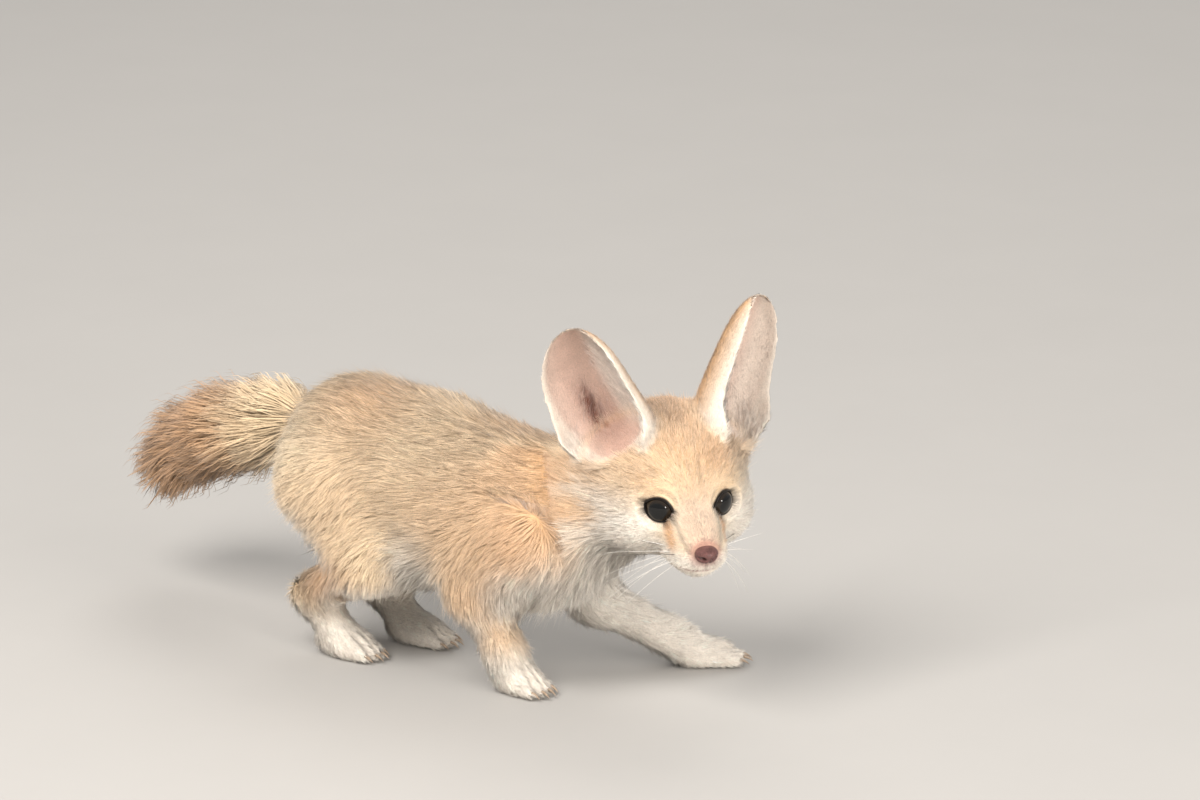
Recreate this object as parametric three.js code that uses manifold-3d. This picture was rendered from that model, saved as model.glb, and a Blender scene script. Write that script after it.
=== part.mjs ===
// A fennec fox kit about eight weeks old, life size, in a low digging stance: back arched over
// the hind legs, left forepaw reaching out to the side, head turned to its right, tail behind.
// Units are millimetres. +X runs from rump to chest, +Y to the animal's left, +Z up, and the
// four paws stand on z = 0. The solids show the outer face of the coat.
import * as THREE from "three";
import { mergeVertices } from "three/addons/utils/BufferGeometryUtils.js";
import Module from "manifold-3d";

const wasm = await Module();
wasm.setup();

// Driving dimensions
const GAP = 0.3; // clearance between touching pieces
const WELDS = [0.08, 0.05, 0.03, 0.02, 0.01, 0.004, 0.002];
const RUMP_HEIGHT = 112;
const WITHERS_HEIGHT = 102;
const TRUNK_WIDTH = 66;
const BELLY_CLEARANCE = 29;
const RUMP_X = -106; // rearmost point of the rump
const CHEST_X = 38; // foremost point of the chest
const HEAD_WIDTH = 62;
const HEAD_CENTRE = [61.5, 11.3, 86.9];
const HEAD_YAW = -38; // degrees, turned to the animal's right
const HEAD_PITCH = 12; // nose down
const HEAD_ROLL = 1; // right side down
const EAR_WIDTH = 41;
const EAR_ROOT = [-10, 21.5, 15]; // of the left ear, in the head's frame: ahead, left, up
const EAR_TIPS = { left: [-16, 36, 67.5], right: [-14, -38, 62.5] };
const EAR_TURN = 42; // degrees that each ear opens outwards of straight ahead
const EAR_ROWS = 12; // rows of points up an ear
const EAR_STEPS = 11; // points from rim to rim
const CROWN_SHIFT = 4.5; // how far an ear's foot spreads towards the crown
const TAIL_COAT = 16.5; // radius of the brush at its fullest
const TAIL_CORE = 8; // radius of the flesh and underfur inside the locks
const TAIL_ROWS = 8;
const LOCKS_ROUND = 6;
const LOCK_LENGTH = 29;
const LOCK_WIDTH = 14;
const LOCK_ROOT = 2.2; // how far a lock's root is sunk in the core
const LOCK_TWIST = 0.3; // radians that a lock may lean round the tail
const LOCK_SECTIONS = [
  { u: 0, wide: 0.6, thick: 2.4 },
  { u: 0.35, wide: 1, thick: 2.6 },
  { u: 0.72, wide: 0.74, thick: 1.7 },
  { u: 1, wide: 0.08, thick: 0.35 },
];
const EYE_RADIUS = 6.8;
const LID_SLANT = 14; // degrees that the outer corner of the eye is raised
const NOSE = [42.2, 0, -7.2]; // middle of the nose pad, in the head's frame
const NOSE_RADII = [3.6, 4.3, 3.1];
const NOSTRIL = { at: [45.4, 2.2, -8], radii: [2, 1.15, 0.95] };
const MOUTH = { depth: 1.8, middle: -14.8, corner: -13.2, turn: 84, step: 12, pivot: 24 };

const SIDES = { left: 1, right: -1 };
const point = (x, y, z) => new THREE.Vector3(x, y, z);
const radians = THREE.MathUtils.degToRad;
const mix = THREE.MathUtils.lerp;
const smooth = THREE.MathUtils.smoothstep;

// Fields: functions of a place that are negative inside, zero on the surface and positive
// outside, in about a millimetre per unit near the surface.

// An ellipsoid, tilted nose down by `pitch` degrees about Y and turned by `yaw` about Z.
function egg([cx, cy, cz], [rx, ry, rz], pitch = 0, yaw = 0) {
  const turn = new THREE.Matrix4()
    .makeRotationFromEuler(new THREE.Euler(0, radians(pitch), radians(yaw), "ZYX"))
    .transpose().elements;
  return (x, y, z) => {
    const dx = x - cx;
    const dy = y - cy;
    const dz = z - cz;
    const u = turn[0] * dx + turn[4] * dy + turn[8] * dz;
    const v = turn[1] * dx + turn[5] * dy + turn[9] * dz;
    const w = turn[2] * dx + turn[6] * dy + turn[10] * dz;
    const k0 = Math.hypot(u / rx, v / ry, w / rz);
    const k1 = Math.hypot(u / (rx * rx), v / (ry * ry), w / (rz * rz));
    return k1 === 0 ? -Math.min(rx, ry, rz) : (k0 * (k0 - 1)) / k1;
  };
}

// A chain of tapered round bars through joints, each given as [x, y, z, radius].
function limb(joints, ease = 3) {
  const bars = joints.slice(1).map(([bx, by, bz, br], i) => {
    const [ax, ay, az, ar] = joints[i];
    const dx = bx - ax;
    const dy = by - ay;
    const dz = bz - az;
    const squared = dx * dx + dy * dy + dz * dz;
    return (x, y, z) => {
      const along = ((x - ax) * dx + (y - ay) * dy + (z - az) * dz) / squared;
      const t = Math.min(1, Math.max(0, along));
      return Math.hypot(x - ax - t * dx, y - ay - t * dy, z - az - t * dz) - mix(ar, br, t);
    };
  });
  return blend(ease, ...bars);
}

// The union of fields with a fillet about `ease` millimetres wide where they meet.
function blend(ease, ...fields) {
  return (x, y, z) => {
    let d = fields[0](x, y, z);
    for (let i = 1; i < fields.length; i++) {
      const e = fields[i](x, y, z);
      const h = Math.max(ease - Math.abs(d - e), 0) / ease;
      d = Math.min(d, e) - (h * h * ease) / 4;
    }
    return d;
  };
}

// Grid lines from low to high, `fine` apart inside the window and `coarse` apart beyond it.
function lines(low, high, coarse, window = null, fine = coarse) {
  const found = [low];
  while (found[found.length - 1] < high) {
    const here = found[found.length - 1];
    const inside = window && here > window[0] - coarse && here < window[1];
    found.push(here + (inside ? fine : coarse));
  }
  return found;
}

// A grid cell's twelve edges, each by its axis and the corners it runs between.
const CELL_EDGES = [0, 1, 2].flatMap((axis) =>
  [0, 1, 2, 3].map((n) => {
    const from = [0, 0, 0];
    from[(axis + 1) % 3] = n & 1;
    from[(axis + 2) % 3] = n >> 1;
    return { axis, from, to: from.map((v, i) => (i === axis ? 1 : v)) };
  })
);
const CELL_FACES = [0, 1, 2].flatMap((axis) => [
  [axis, 0],
  [axis, 1],
]);

// The crossed edges of a cell, grouped by the sheet of surface that passes through them.
function sheetsIn(isInside) {
  const group = CELL_EDGES.map(({ from, to }, n) => (isInside(from) === isInside(to) ? -1 : n));
  const join = (m, n) => {
    const [kept, gone] = [group[m], group[n]];
    group.forEach((g, i) => {
      if (g === gone) group[i] = kept;
    });
  };
  for (const [axis, level] of CELL_FACES) {
    const crossed = CELL_EDGES.map((edge, n) => ({ ...edge, n })).filter(
      ({ from, to, n }) => group[n] >= 0 && from[axis] === level && to[axis] === level
    );
    if (crossed.length === 2) join(crossed[0].n, crossed[1].n);
    if (crossed.length !== 4) continue;
    const innerEnd = ({ from, to }) => (isInside(from) ? from : to).join();
    for (const one of crossed) {
      const other = crossed.find((e) => e.n > one.n && innerEnd(e) === innerEnd(one));
      if (other) join(one.n, other.n);
    }
  }
  return group;
}

// The closed surface where a field is zero: a vertex in a grid cell for each sheet that
// passes through it, moved onto the surface, and a quad across each crossed grid edge. A
// surface that runs out of the grid is closed there.
function surfaceOf(field, xs, ys, zs) {
  const axes = [xs, ys, zs];
  const counts = axes.map((axis) => axis.length);
  const strides = [1, counts[0], counts[0] * counts[1]];
  const values = new Float64Array(counts[0] * counts[1] * counts[2]);
  zs.forEach((z, k) =>
    ys.forEach((y, j) =>
      xs.forEach((x, i) => {
        const rim = [i, j, k].some((n, axis) => n < 2 || n > counts[axis] - 3);
        values[i + j * strides[1] + k * strides[2]] = rim ? 1 : field(x, y, z) || 1e-9;
      })
    )
  );
  const valueAt = (cell, [i, j, k]) => values[cell + i + j * strides[1] + k * strides[2]];
  const vertexOf = new Map();
  const positions = [];

  // Makes the vertices of a cell and notes which one each of its crossed edges uses.
  const fill = (i, j, k) => {
    const cell = i + j * strides[1] + k * strides[2];
    const group = sheetsIn((corner) => valueAt(cell, corner) < 0);
    const found = group.map(() => -1);
    for (const sheet of new Set(group.filter((g) => g >= 0))) {
      const sum = point(0, 0, 0);
      const members = CELL_EDGES.map((_, n) => n).filter((n) => group[n] === sheet);
      for (const n of members) {
        const { axis, from, to } = CELL_EDGES[n];
        const va = valueAt(cell, from);
        const spot = [xs[i + from[0]], ys[j + from[1]], zs[k + from[2]]];
        const start = [i, j, k][axis];
        spot[axis] += (va / (va - valueAt(cell, to))) * (axes[axis][start + 1] - axes[axis][start]);
        sum.add(point(...spot));
        found[n] = positions.length / 3;
      }
      sum.divideScalar(members.length);
      const reach = 0.45 * Math.min(xs[i + 1] - xs[i], ys[j + 1] - ys[j], zs[k + 1] - zs[k]);
      positions.push(...ontoSurface(field, sum, reach).toArray());
    }
    vertexOf.set(cell, found);
    return found;
  };
  const vertexAt = (i, j, k, edge) => {
    const cell = i + j * strides[1] + k * strides[2];
    return (vertexOf.get(cell) ?? fill(i, j, k))[edge];
  };

  const index = [];
  for (let k = 1; k < counts[2] - 1; k++) {
    for (let j = 1; j < counts[1] - 1; j++) {
      for (let i = 1; i < counts[0] - 1; i++) {
        const from = i + j * strides[1] + k * strides[2];
        for (let axis = 0; axis < 3; axis++) {
          const inside = values[from] < 0;
          if (inside === values[from + strides[axis]] < 0) continue;
          const u = [0, 0, 0];
          const v = [0, 0, 0];
          u[(axis + 1) % 3] = 1;
          v[(axis + 2) % 3] = 1;
          const ring = [
            vertexAt(i, j, k, 4 * axis),
            vertexAt(i - u[0], j - u[1], k - u[2], 4 * axis + 1),
            vertexAt(i - u[0] - v[0], j - u[1] - v[1], k - u[2] - v[2], 4 * axis + 3),
            vertexAt(i - v[0], j - v[1], k - v[2], 4 * axis + 2),
          ];
          if (!inside) ring.reverse();
          index.push(...splitQuad(ring, positions));
        }
      }
    }
  }
  return new THREE.BufferGeometry()
    .setAttribute("position", new THREE.Float32BufferAttribute(positions, 3))
    .setIndex(index);
}

// Two triangles from a quad, parted along its shorter diagonal.
function splitQuad([a, b, c, d], positions) {
  const apart = (m, n) =>
    Math.hypot(
      positions[3 * m] - positions[3 * n],
      positions[3 * m + 1] - positions[3 * n + 1],
      positions[3 * m + 2] - positions[3 * n + 2]
    );
  return apart(a, c) <= apart(b, d) ? [a, b, c, a, c, d] : [a, b, d, b, c, d];
}

// Moves a point towards the zero of a field, by at most `reach`.
function ontoSurface(field, start, reach) {
  const at = start.clone();
  const step = 0.05;
  for (let turn = 0; turn < 3; turn++) {
    const d = field(at.x, at.y, at.z);
    const slope = point(
      field(at.x + step, at.y, at.z) - d,
      field(at.x, at.y + step, at.z) - d,
      field(at.x, at.y, at.z + step) - d
    ).divideScalar(step);
    at.addScaledVector(slope, -d / Math.max(slope.lengthSq(), 0.05));
  }
  const moved = at.sub(start);
  return start.clone().add(moved.clampLength(0, reach));
}

// Solids: three.js geometry joined and cut with manifold-3d.

function solid(geometry) {
  const bare = new THREE.BufferGeometry().setAttribute(
    "position",
    geometry.getAttribute("position")
  );
  if (geometry.index) bare.setIndex(geometry.index);
  const merged = mergeVertices(bare, 1e-4);
  return new wasm.Manifold(
    new wasm.Mesh({
      numProp: 3,
      vertProperties: new Float32Array(merged.attributes.position.array),
      triVerts: new Uint32Array(merged.index.array),
    })
  );
}

// The triangles of a solid. Vertices that lie closer together than a fiftieth of a
// millimetre or so are made one, by the widest tolerance that keeps every edge in two faces.
function geometryOf(made) {
  const found = made.getMesh();
  const positions = [];
  for (let i = 0; i < found.numVert; i++) {
    positions.push(...found.vertProperties.subarray(i * found.numProp, i * found.numProp + 3));
  }
  const whole = new THREE.BufferGeometry()
    .setAttribute("position", new THREE.Float32BufferAttribute(positions, 3))
    .setIndex(Array.from(found.triVerts));
  for (const tolerance of WELDS) {
    const welded = mergeVertices(whole, tolerance);
    const corners = welded.index.array;
    const kept = [];
    for (let i = 0; i < corners.length; i += 3) {
      const face = [corners[i], corners[i + 1], corners[i + 2]];
      if (new Set(face).size === 3) kept.push(...face);
    }
    if (isClosed(kept)) return welded.setIndex(kept);
  }
  throw new Error("a solid has an edge that isn't in two faces");
}

// Whether each edge runs once each way in a list of triangles.
function isClosed(corners) {
  const seen = new Set();
  for (let i = 0; i < corners.length; i++) {
    const next = i % 3 === 2 ? i - 2 : i + 1;
    const edge = `${corners[i]},${corners[next]}`;
    if (seen.has(edge)) return false;
    seen.add(edge);
  }
  return [...seen].every((edge) => seen.has(edge.split(",").reverse().join()));
}

// The largest of the closed surfaces that a cut leaves.
function largest(made) {
  return made.decompose().reduce((a, b) => (b.volume() > a.volume() ? b : a));
}

// A geometry with each vertex pushed out along its normal.
function grown(geometry, by) {
  const wide = mergeVertices(geometry.clone().deleteAttribute("normal"), 1e-4);
  wide.computeVertexNormals();
  const at = wide.attributes.position;
  const normal = wide.attributes.normal;
  for (let i = 0; i < at.count; i++) {
    at.setXYZ(
      i,
      at.getX(i) + normal.getX(i) * by,
      at.getY(i) + normal.getY(i) * by,
      at.getZ(i) + normal.getZ(i) * by
    );
  }
  return wide;
}

// A closed tube of straight-sided rings, each a list of points, with its two ends filled.
function loft(rings) {
  const sides = rings[0].length;
  const positions = rings.flat().flatMap((p) => p.toArray());
  const index = [];
  for (let r = 0; r < rings.length - 1; r++) {
    for (let s = 0; s < sides; s++) {
      const a = r * sides + s;
      const b = r * sides + ((s + 1) % sides);
      index.push(...splitQuad([a, b, b + sides, a + sides], positions));
    }
  }
  for (const [r, ahead] of [[0, false], [rings.length - 1, true]]) {
    for (let s = 1; s < sides - 1; s++) {
      const cap = [r * sides, r * sides + s, r * sides + s + 1];
      index.push(...(ahead ? cap : cap.reverse()));
    }
  }
  return new THREE.BufferGeometry()
    .setAttribute("position", new THREE.Float32BufferAttribute(positions, 3))
    .setIndex(index);
}

// A large box that keeps what lies on the side of a plane that its normal points to.
function halfSpace(through, normal, size = 400) {
  const box = new THREE.BoxGeometry(size, size, size);
  box.translate(0, 0, size / 2);
  box.applyQuaternion(
    new THREE.Quaternion().setFromUnitVectors(point(0, 0, 1), normal.clone().normalize())
  );
  box.translate(through.x, through.y, through.z);
  return solid(box);
}

// Torso
const WAIST_Z = (RUMP_HEIGHT + BELLY_CLEARANCE) / 2;
const HALF_WIDTH = TRUNK_WIDTH / 2;
const trunk = blend(
  12,
  egg([RUMP_X + 34, 0, WAIST_Z + 3], [34, HALF_WIDTH - 2, 37]),
  egg([RUMP_X + 66, 0, WAIST_Z - 1], [44, HALF_WIDTH - 3.5, 40]),
  egg([CHEST_X - 42, 0, WITHERS_HEIGHT - 36], [38, HALF_WIDTH - 2, 35]),
  egg([CHEST_X - 22, 1, WITHERS_HEIGHT - 38], [23, HALF_WIDTH - 7, 28])
);

// Legs: each is a chain of joints with the coat's radius at each, in order from the body down.
const LEGS = {
  foreleg_right: {
    joints: [[18, -14, 62, 17], [-9, -17, 40, 11], [2, -13, 15, 7.6], [5, -12, 7, 7]],
    envelope: [[14, -26, 62, 20], [-9, -20, 40, 16], [2, -13, 14, 13], [6, -12, 5, 14]],
    paw: { at: [7, -12], heading: -6, length: 21, width: 15 },
  },
  foreleg_left: {
    joints: [[18, 14, 58, 16], [14, 28, 28, 9.5], [40, 46, 11, 7], [46, 50, 6.5, 6.6]],
    envelope: [[14, 26, 60, 19], [14, 29, 28, 14], [40, 46, 11, 13], [48, 51, 5, 14]],
    paw: { at: [50, 54], heading: 40, length: 21, width: 15 },
  },
  hindleg_right: {
    joints: [[-76, -13, 68, 24], [-56, -20, 44, 13.5], [-88, -15, 22, 7], [-72, -14.5, 7, 6.6]],
    envelope: [[-74, -26, 66, 26], [-58, -22, 44, 17], [-89, -15, 22, 13], [-72, -14, 5, 15]],
    paw: { at: [-73, -14.5], heading: 0, length: 27, width: 15 },
  },
  hindleg_left: {
    joints: [[-74, 13, 68, 24], [-47, 19, 45, 13.5], [-76, 14, 20, 7], [-60, 13, 7, 6.6]],
    envelope: [[-72, 26, 66, 26], [-49, 22, 45, 17], [-77, 14, 20, 13], [-60, 13, 5, 15]],
    paw: { at: [-58, 13], heading: 4, length: 27, width: 15 },
  },
};

// A paw's field: a sole and a rounded instep, which the leg runs down into.
function pawField({ at, heading, length, width }) {
  const angle = radians(heading);
  const ahead = (d) => [at[0] + d * Math.cos(angle), at[1] + d * Math.sin(angle)];
  return blend(
    4,
    egg([...ahead(0), 5], [length * 0.5, width * 0.46, 6], 0, heading),
    egg([...ahead(length * 0.24), 4.2], [length * 0.26, width * 0.5, 5.2], 0, heading)
  );
}

const legField = Object.fromEntries(
  Object.entries(LEGS).map(([name, leg]) => [
    name,
    blend(5, limb(leg.joints, 6), pawField(leg.paw)),
  ])
);

// Head, in its own frame: x towards the nose, y to its left, z up.
const headFrame = new THREE.Matrix4().compose(
  point(...HEAD_CENTRE),
  new THREE.Quaternion().setFromEuler(
    new THREE.Euler(radians(HEAD_ROLL), radians(HEAD_PITCH), radians(HEAD_YAW), "ZYX")
  ),
  point(1, 1, 1)
);
const fromHead = (x, y, z) => point(x, y, z).applyMatrix4(headFrame);
const toHead = headFrame.clone().invert().elements;

const CHEEK = HEAD_WIDTH / 2;
const both = (make) => [make(1), make(-1)];
const EYE_OPENING = [24, 13.8, 2]; // middle of the left eye's opening
const gaze = (side) => point(0.82, side * 0.57, 0.05).normalize();
const eyeCentre = (side) =>
  point(EYE_OPENING[0], side * EYE_OPENING[1], EYE_OPENING[2]).addScaledVector(
    gaze(side),
    -EYE_RADIUS
  );
const skull = blend(
  8,
  egg([-5, 0, 4], [28, CHEEK - 3, 26]),
  egg([10, 0, 5], [15, 21, 18]),
  ...both((side) => egg([3, side * (CHEEK - 17), -8], [21, 17, 16])),
  ...both((side) => egg([-7, side * (CHEEK - 8), 9], [11, 8, 12]))
);
const muzzle = blend(
  4,
  limb([[13, 0, -5, 15], [28, 0, -8.5, 11], [35, 0, -9.6, 8.6]], 5),
  ...both((side) => egg([33.5, side * 4.6, -11.2], [8, 6, 5.2]))
);
const jaw = limb([[8, 0, -15, 11], [24, 0, -16.3, 7.4], [33.5, 0, -17.2, 4.4]], 4);
const lidMounds = blend(
  0.1,
  ...both((side) => egg(eyeCentre(side).toArray(), Array(3).fill(EYE_RADIUS + 1)))
);
const headLocal = blend(5, blend(5, skull, muzzle, jaw), lidMounds);
const headField = (x, y, z) =>
  headLocal(
    toHead[0] * x + toHead[4] * y + toHead[8] * z + toHead[12],
    toHead[1] * x + toHead[5] * y + toHead[9] * z + toHead[13],
    toHead[2] * x + toHead[6] * y + toHead[10] * z + toHead[14]
  );

// Neck
const NAPE = fromHead(-12, 0, -3);
const neckField = limb([[14, 1, 66, 26], [NAPE.x, NAPE.y, NAPE.z, 24]]);

const bodyField = blend(9, trunk, neckField, ...Object.values(legField));
const flesh = blend(8, bodyField, headField);

// The line of the tail's core, from inside the rump
const TAIL_LINE = [
  [RUMP_X + 14, 0, 85],
  [RUMP_X - 9, 1, 81.5],
  [RUMP_X - 32, 4.5, 75.5],
  [RUMP_X - 53, 10, 66],
  [RUMP_X - 70, 15, 53.5],
];

// Grid lines that take in every joint of a limb, with room to spare.
function gridRound(joints, cell) {
  return [0, 1, 2].map((axis) => {
    const low = Math.min(...joints.map((j) => j[axis] - j[3]));
    const high = Math.max(...joints.map((j) => j[axis] + j[3]));
    return lines(low - 3 * cell, high + 3 * cell, cell);
  });
}

// Both sides of a parting along an envelope round a limb: the piece kept inside, and the
// same form grown by the gap, which is taken from the pieces outside.
function partingOf(joints, cell = 9) {
  const field = limb(joints, 6);
  const inside = surfaceOf(field, ...gridRound(joints, cell));
  return { inside: solid(inside), outside: solid(grown(inside, GAP)) };
}

const towards = (a, b) => point(b[0] - a[0], b[1] - a[1], b[2] - a[2]).normalize();
const along = (a, b, t) => point(mix(a[0], b[0], t), mix(a[1], b[1], t), mix(a[2], b[2], t));
const floor = halfSpace(point(0, 0, 0), point(0, 0, 1));

const neckAxis = point(0.81, 0.36, 0.47).normalize();
const NECK_ROOT = point(28, 6, 74);
// What belongs to the head: all above its throat and ahead of its nape, in its own frame.
const headSpace = (clearance) =>
  [
    { through: point(-16, 0, -12), normal: point(0.8, 0, 0.6) },
    { through: point(10, 0, -25), normal: point(0.24, 0, 0.97) },
  ]
    .map(({ through, normal }) =>
      halfSpace(through.addScaledVector(normal, -clearance), normal)
    )
    .reduce((a, b) => a.intersect(b));
const headSpaceInBody = headSpace(GAP).transform(headFrame.toArray());

const box = (low, high, cell) => [0, 1, 2].map((axis) => lines(low[axis], high[axis], cell));
const colours = {
  sand: 0xe2bd8b,
  face: 0xecd2ab,
  cream: 0xf0dfc4,
  brush: 0xc99c6c,
  ear: 0xe6c4a8,
  nose: 0x8a5048,
  eye: 0x120e0d,
};

function mesh(name, made, colour, roughness = 0.9) {
  const geometry = made.isBufferGeometry ? made : geometryOf(made);
  geometry.computeVertexNormals();
  const material = new THREE.MeshStandardMaterial({ color: colour, roughness, metalness: 0 });
  const found = new THREE.Mesh(geometry, material);
  found.name = name;
  return found;
}

const fox = new THREE.Group();
const headGroup = new THREE.Group();
headGroup.applyMatrix4(headFrame);
fox.add(headGroup);

// Legs and paws
const partings = Object.fromEntries(
  Object.entries(LEGS).map(([name, leg]) => [name, partingOf(leg.envelope)])
);

// A paw's four toes, each a small egg with a claw, along its front edge.
function toesOf({ at, heading, length, width }) {
  const parts = [-0.36, -0.125, 0.125, 0.36].flatMap((side) => {
    const reach = length * (Math.abs(side) > 0.3 ? 0.4 : 0.49);
    const toe = new THREE.SphereGeometry(1, 6, 5).scale(4.4, width * 0.145, 3.3);
    const claw = new THREE.ConeGeometry(0.75, 5, 4).rotateZ(radians(-112));
    toe.translate(reach, side * width, 3.2);
    claw.translate(reach + 4.4, side * width, 2.6);
    return [solid(toe), solid(claw)];
  });
  return wasm.Manifold.union(parts).rotate([0, 0, heading]).translate([at[0], at[1], 0]);
}

for (const [name, leg] of Object.entries(LEGS)) {
  const { paw } = leg;
  const lower = leg.joints.slice(1);
  const ankle = along(lower[1], lower[2], 0.35);
  const down = towards(lower[1], lower[2]);
  const whole = solid(surfaceOf(flesh, ...gridRound(leg.envelope, 6.6))).intersect(
    partings[name].inside
  );
  const cuff = halfSpace(ankle.clone().addScaledVector(down, -GAP), down, 44);
  const coat = name.endsWith("left") ? colours.cream : colours.sand;
  fox.add(mesh(name, largest(whole.subtract(cuff)), coat));

  const pawLow = [paw.at[0] - 26, paw.at[1] - 26, -10];
  const pawHigh = [paw.at[0] + 26, paw.at[1] + 26, 32];
  const foot = solid(surfaceOf(flesh, ...box(pawLow, pawHigh, 4)))
    .intersect(partings[name].inside)
    .intersect(halfSpace(ankle, down, 44))
    .add(toesOf(paw))
    .intersect(floor);
  fox.add(mesh(name.replace("leg", "paw"), largest(foot), colours.cream));
}
const legSpace = wasm.Manifold.union(Object.values(partings).map((p) => p.outside));
const legSpaceInHead = legSpace.transform(headFrame.clone().invert().toArray());

// Torso and neck
const torsoGrid = [lines(-136, 74, 10), lines(-62, 60, 9.4), lines(-4, 140, 9.6)];
const torsoSkin = surfaceOf(flesh, ...torsoGrid);
const torso = solid(torsoSkin)
  .intersect(halfSpace(NECK_ROOT, neckAxis.clone().negate()))
  .subtract(headSpaceInBody)
  .subtract(legSpace);
fox.add(mesh("torso", largest(torso), colours.sand));

const neckGrid = [lines(-20, 96, 6.4), lines(-52, 72, 6.4), lines(16, 134, 6.4)];
const neck = solid(surfaceOf(flesh, ...neckGrid))
  .intersect(halfSpace(NECK_ROOT.clone().addScaledVector(neckAxis, GAP), neckAxis))
  .subtract(headSpaceInBody)
  .subtract(legSpace);
fox.add(mesh("neck", largest(neck), colours.sand));

// Tail: a core with rows of flat, tapered locks that lie back over one another.
const tailCurve = new THREE.CatmullRomCurve3(TAIL_LINE.map((p) => point(...p)));
const TAIL_LENGTH = tailCurve.getLength();

// The radius of the core, and of the brush out to the locks' tips, t along the core.
const coreRadius = (t) => TAIL_CORE * mix(1.35, 1, smooth(t, 0, 0.3)) * (1 - 0.6 * t ** 5);
const brushRadius = (t) => mix(0.92, 1, smooth(t, 0, 0.3)) * TAIL_COAT * tipTaper(t);
const tipTaper = (t) => Math.sqrt(Math.max(0, 1 - (Math.max(0, t - 0.55) / 0.72) ** 2));

// A place round the tail's line, which runs on straight past its end: at `turn` radians
// round it and `radius` out, with the ways back, out and around there.
function roundTail(t, turn, radius) {
  const back = tailCurve.getTangentAt(Math.min(t, 1));
  const side = point(0, 0, 1).cross(back).normalize();
  const up = back.clone().cross(side);
  const out = side.clone().multiplyScalar(Math.cos(turn)).addScaledVector(up, Math.sin(turn));
  const place = tailCurve
    .getPointAt(Math.min(t, 1))
    .addScaledVector(back, Math.max(0, t - 1) * TAIL_LENGTH)
    .addScaledVector(out, radius);
  return { place, out, around: back.clone().cross(out), back };
}

const ringAt = (t, radius, sides) =>
  Array.from({ length: sides }, (_, i) => roundTail(t, (2 * Math.PI * i) / sides, radius).place);

// Numbers from 0 to 1 that are the same on each run.
function draws(seed) {
  let state = seed;
  return () => {
    state = (state * 16807) % 2147483647;
    return state / 2147483647;
  };
}

// One lock: its root is sunk in the core, its tip is at the outside of the brush.
function lockAt(t, turn, length, width, lift, twist) {
  const rings = LOCK_SECTIONS.map(({ u, wide, thick }) => {
    const at = t + (u * length) / TAIL_LENGTH;
    const outer = brushRadius(at) * lift;
    const radius = mix(coreRadius(Math.min(t, 1)) - LOCK_ROOT, outer, 1 - (1 - u) ** 1.7);
    const { place, out, around } = roundTail(at, turn + twist * u, Math.max(radius, 0.4));
    const edge = (side) => place.clone().addScaledVector(around, (side * width * wide) / 2);
    const face = (side) => place.clone().addScaledVector(out, (side * thick) / 2);
    return [face(1), edge(1), face(-1), edge(-1)];
  });
  return solid(loft(rings));
}

const draw = draws(11);
const locks = [];
for (let row = 0; row < TAIL_ROWS; row++) {
  const t = mix(0.02, 0.98, row / (TAIL_ROWS - 1));
  const count = row < TAIL_ROWS - 2 ? LOCKS_ROUND : LOCKS_ROUND - 2;
  for (let i = 0; i < count; i++) {
    const turn = ((i + (row % 2) / 2 + 0.3 * (draw() - 0.5)) * 2 * Math.PI) / count;
    const length = LOCK_LENGTH * mix(0.88, 1.1, draw());
    const width = LOCK_WIDTH * mix(0.9, 1.1, draw()) * (0.55 + 0.45 * tipTaper(t + 0.15));
    const start = t + 0.02 * draw();
    const lift = mix(0.93, 1.04, draw());
    locks.push(lockAt(start, turn, length, width, lift, LOCK_TWIST * (draw() - 0.5)));
  }
}
const CORE_RINGS = 9;
const core = solid(
  loft(
    Array.from({ length: CORE_RINGS }, (_, i) => {
      const t = i / (CORE_RINGS - 1);
      return ringAt(t, coreRadius(t), 10);
    })
  )
);
const brush = wasm.Manifold.union([core, ...locks]).subtract(solid(grown(torsoSkin, GAP)));
fox.add(mesh("tail", largest(brush), colours.brush));

// Head with sockets, lids, mouth line and nostrils
const toBody = (field) => (x, y, z) => {
  const p = fromHead(x, y, z);
  return field(p.x, p.y, p.z);
};
const headGrid = [
  lines(-48, 56, 5.6, [13, 46], 3),
  lines(-47, 47, 5.2, [-19, 19], 2.8),
  lines(-44, 48, 5.4, [-21, 9], 2.8),
];
let head = solid(surfaceOf(toBody(flesh), ...headGrid)).intersect(headSpace(0));

// An almond prism ahead of an eyeball, which opens its lids: the inner corner is the lower.
function almond(side) {
  const half = EYE_RADIUS * 0.93;
  const shape = new THREE.Shape().moveTo(-side * half, 0);
  shape.quadraticCurveTo(-side * 1.2, 9.4, side * half, 0);
  shape.quadraticCurveTo(side * 0.8, -8.6, -side * half, 0);
  const prism = new THREE.ExtrudeGeometry(shape, {
    depth: 14,
    bevelEnabled: false,
    curveSegments: 7,
  });
  const look = gaze(side);
  const across = point(0, 0, 1).cross(look).normalize();
  across.applyAxisAngle(look, radians(side * LID_SLANT));
  prism.applyMatrix4(new THREE.Matrix4().makeBasis(across, look.clone().cross(across), look));
  const centre = eyeCentre(side);
  return solid(prism.translate(centre.x, centre.y, centre.z));
}

const ballAt = (centre, radii, wide = 12, high = 8) =>
  new THREE.SphereGeometry(1, wide, high).scale(...radii).translate(...centre);

for (const [name, side] of Object.entries(SIDES)) {
  const centre = eyeCentre(side).toArray();
  head = head
    .subtract(solid(ballAt(centre, Array(3).fill(EYE_RADIUS + GAP))))
    .subtract(almond(side));
  const ball = ballAt(centre, Array(3).fill(EYE_RADIUS));
  headGroup.add(mesh(`eye_${name}`, solid(ball), colours.eye, 0.1));
}

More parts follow.
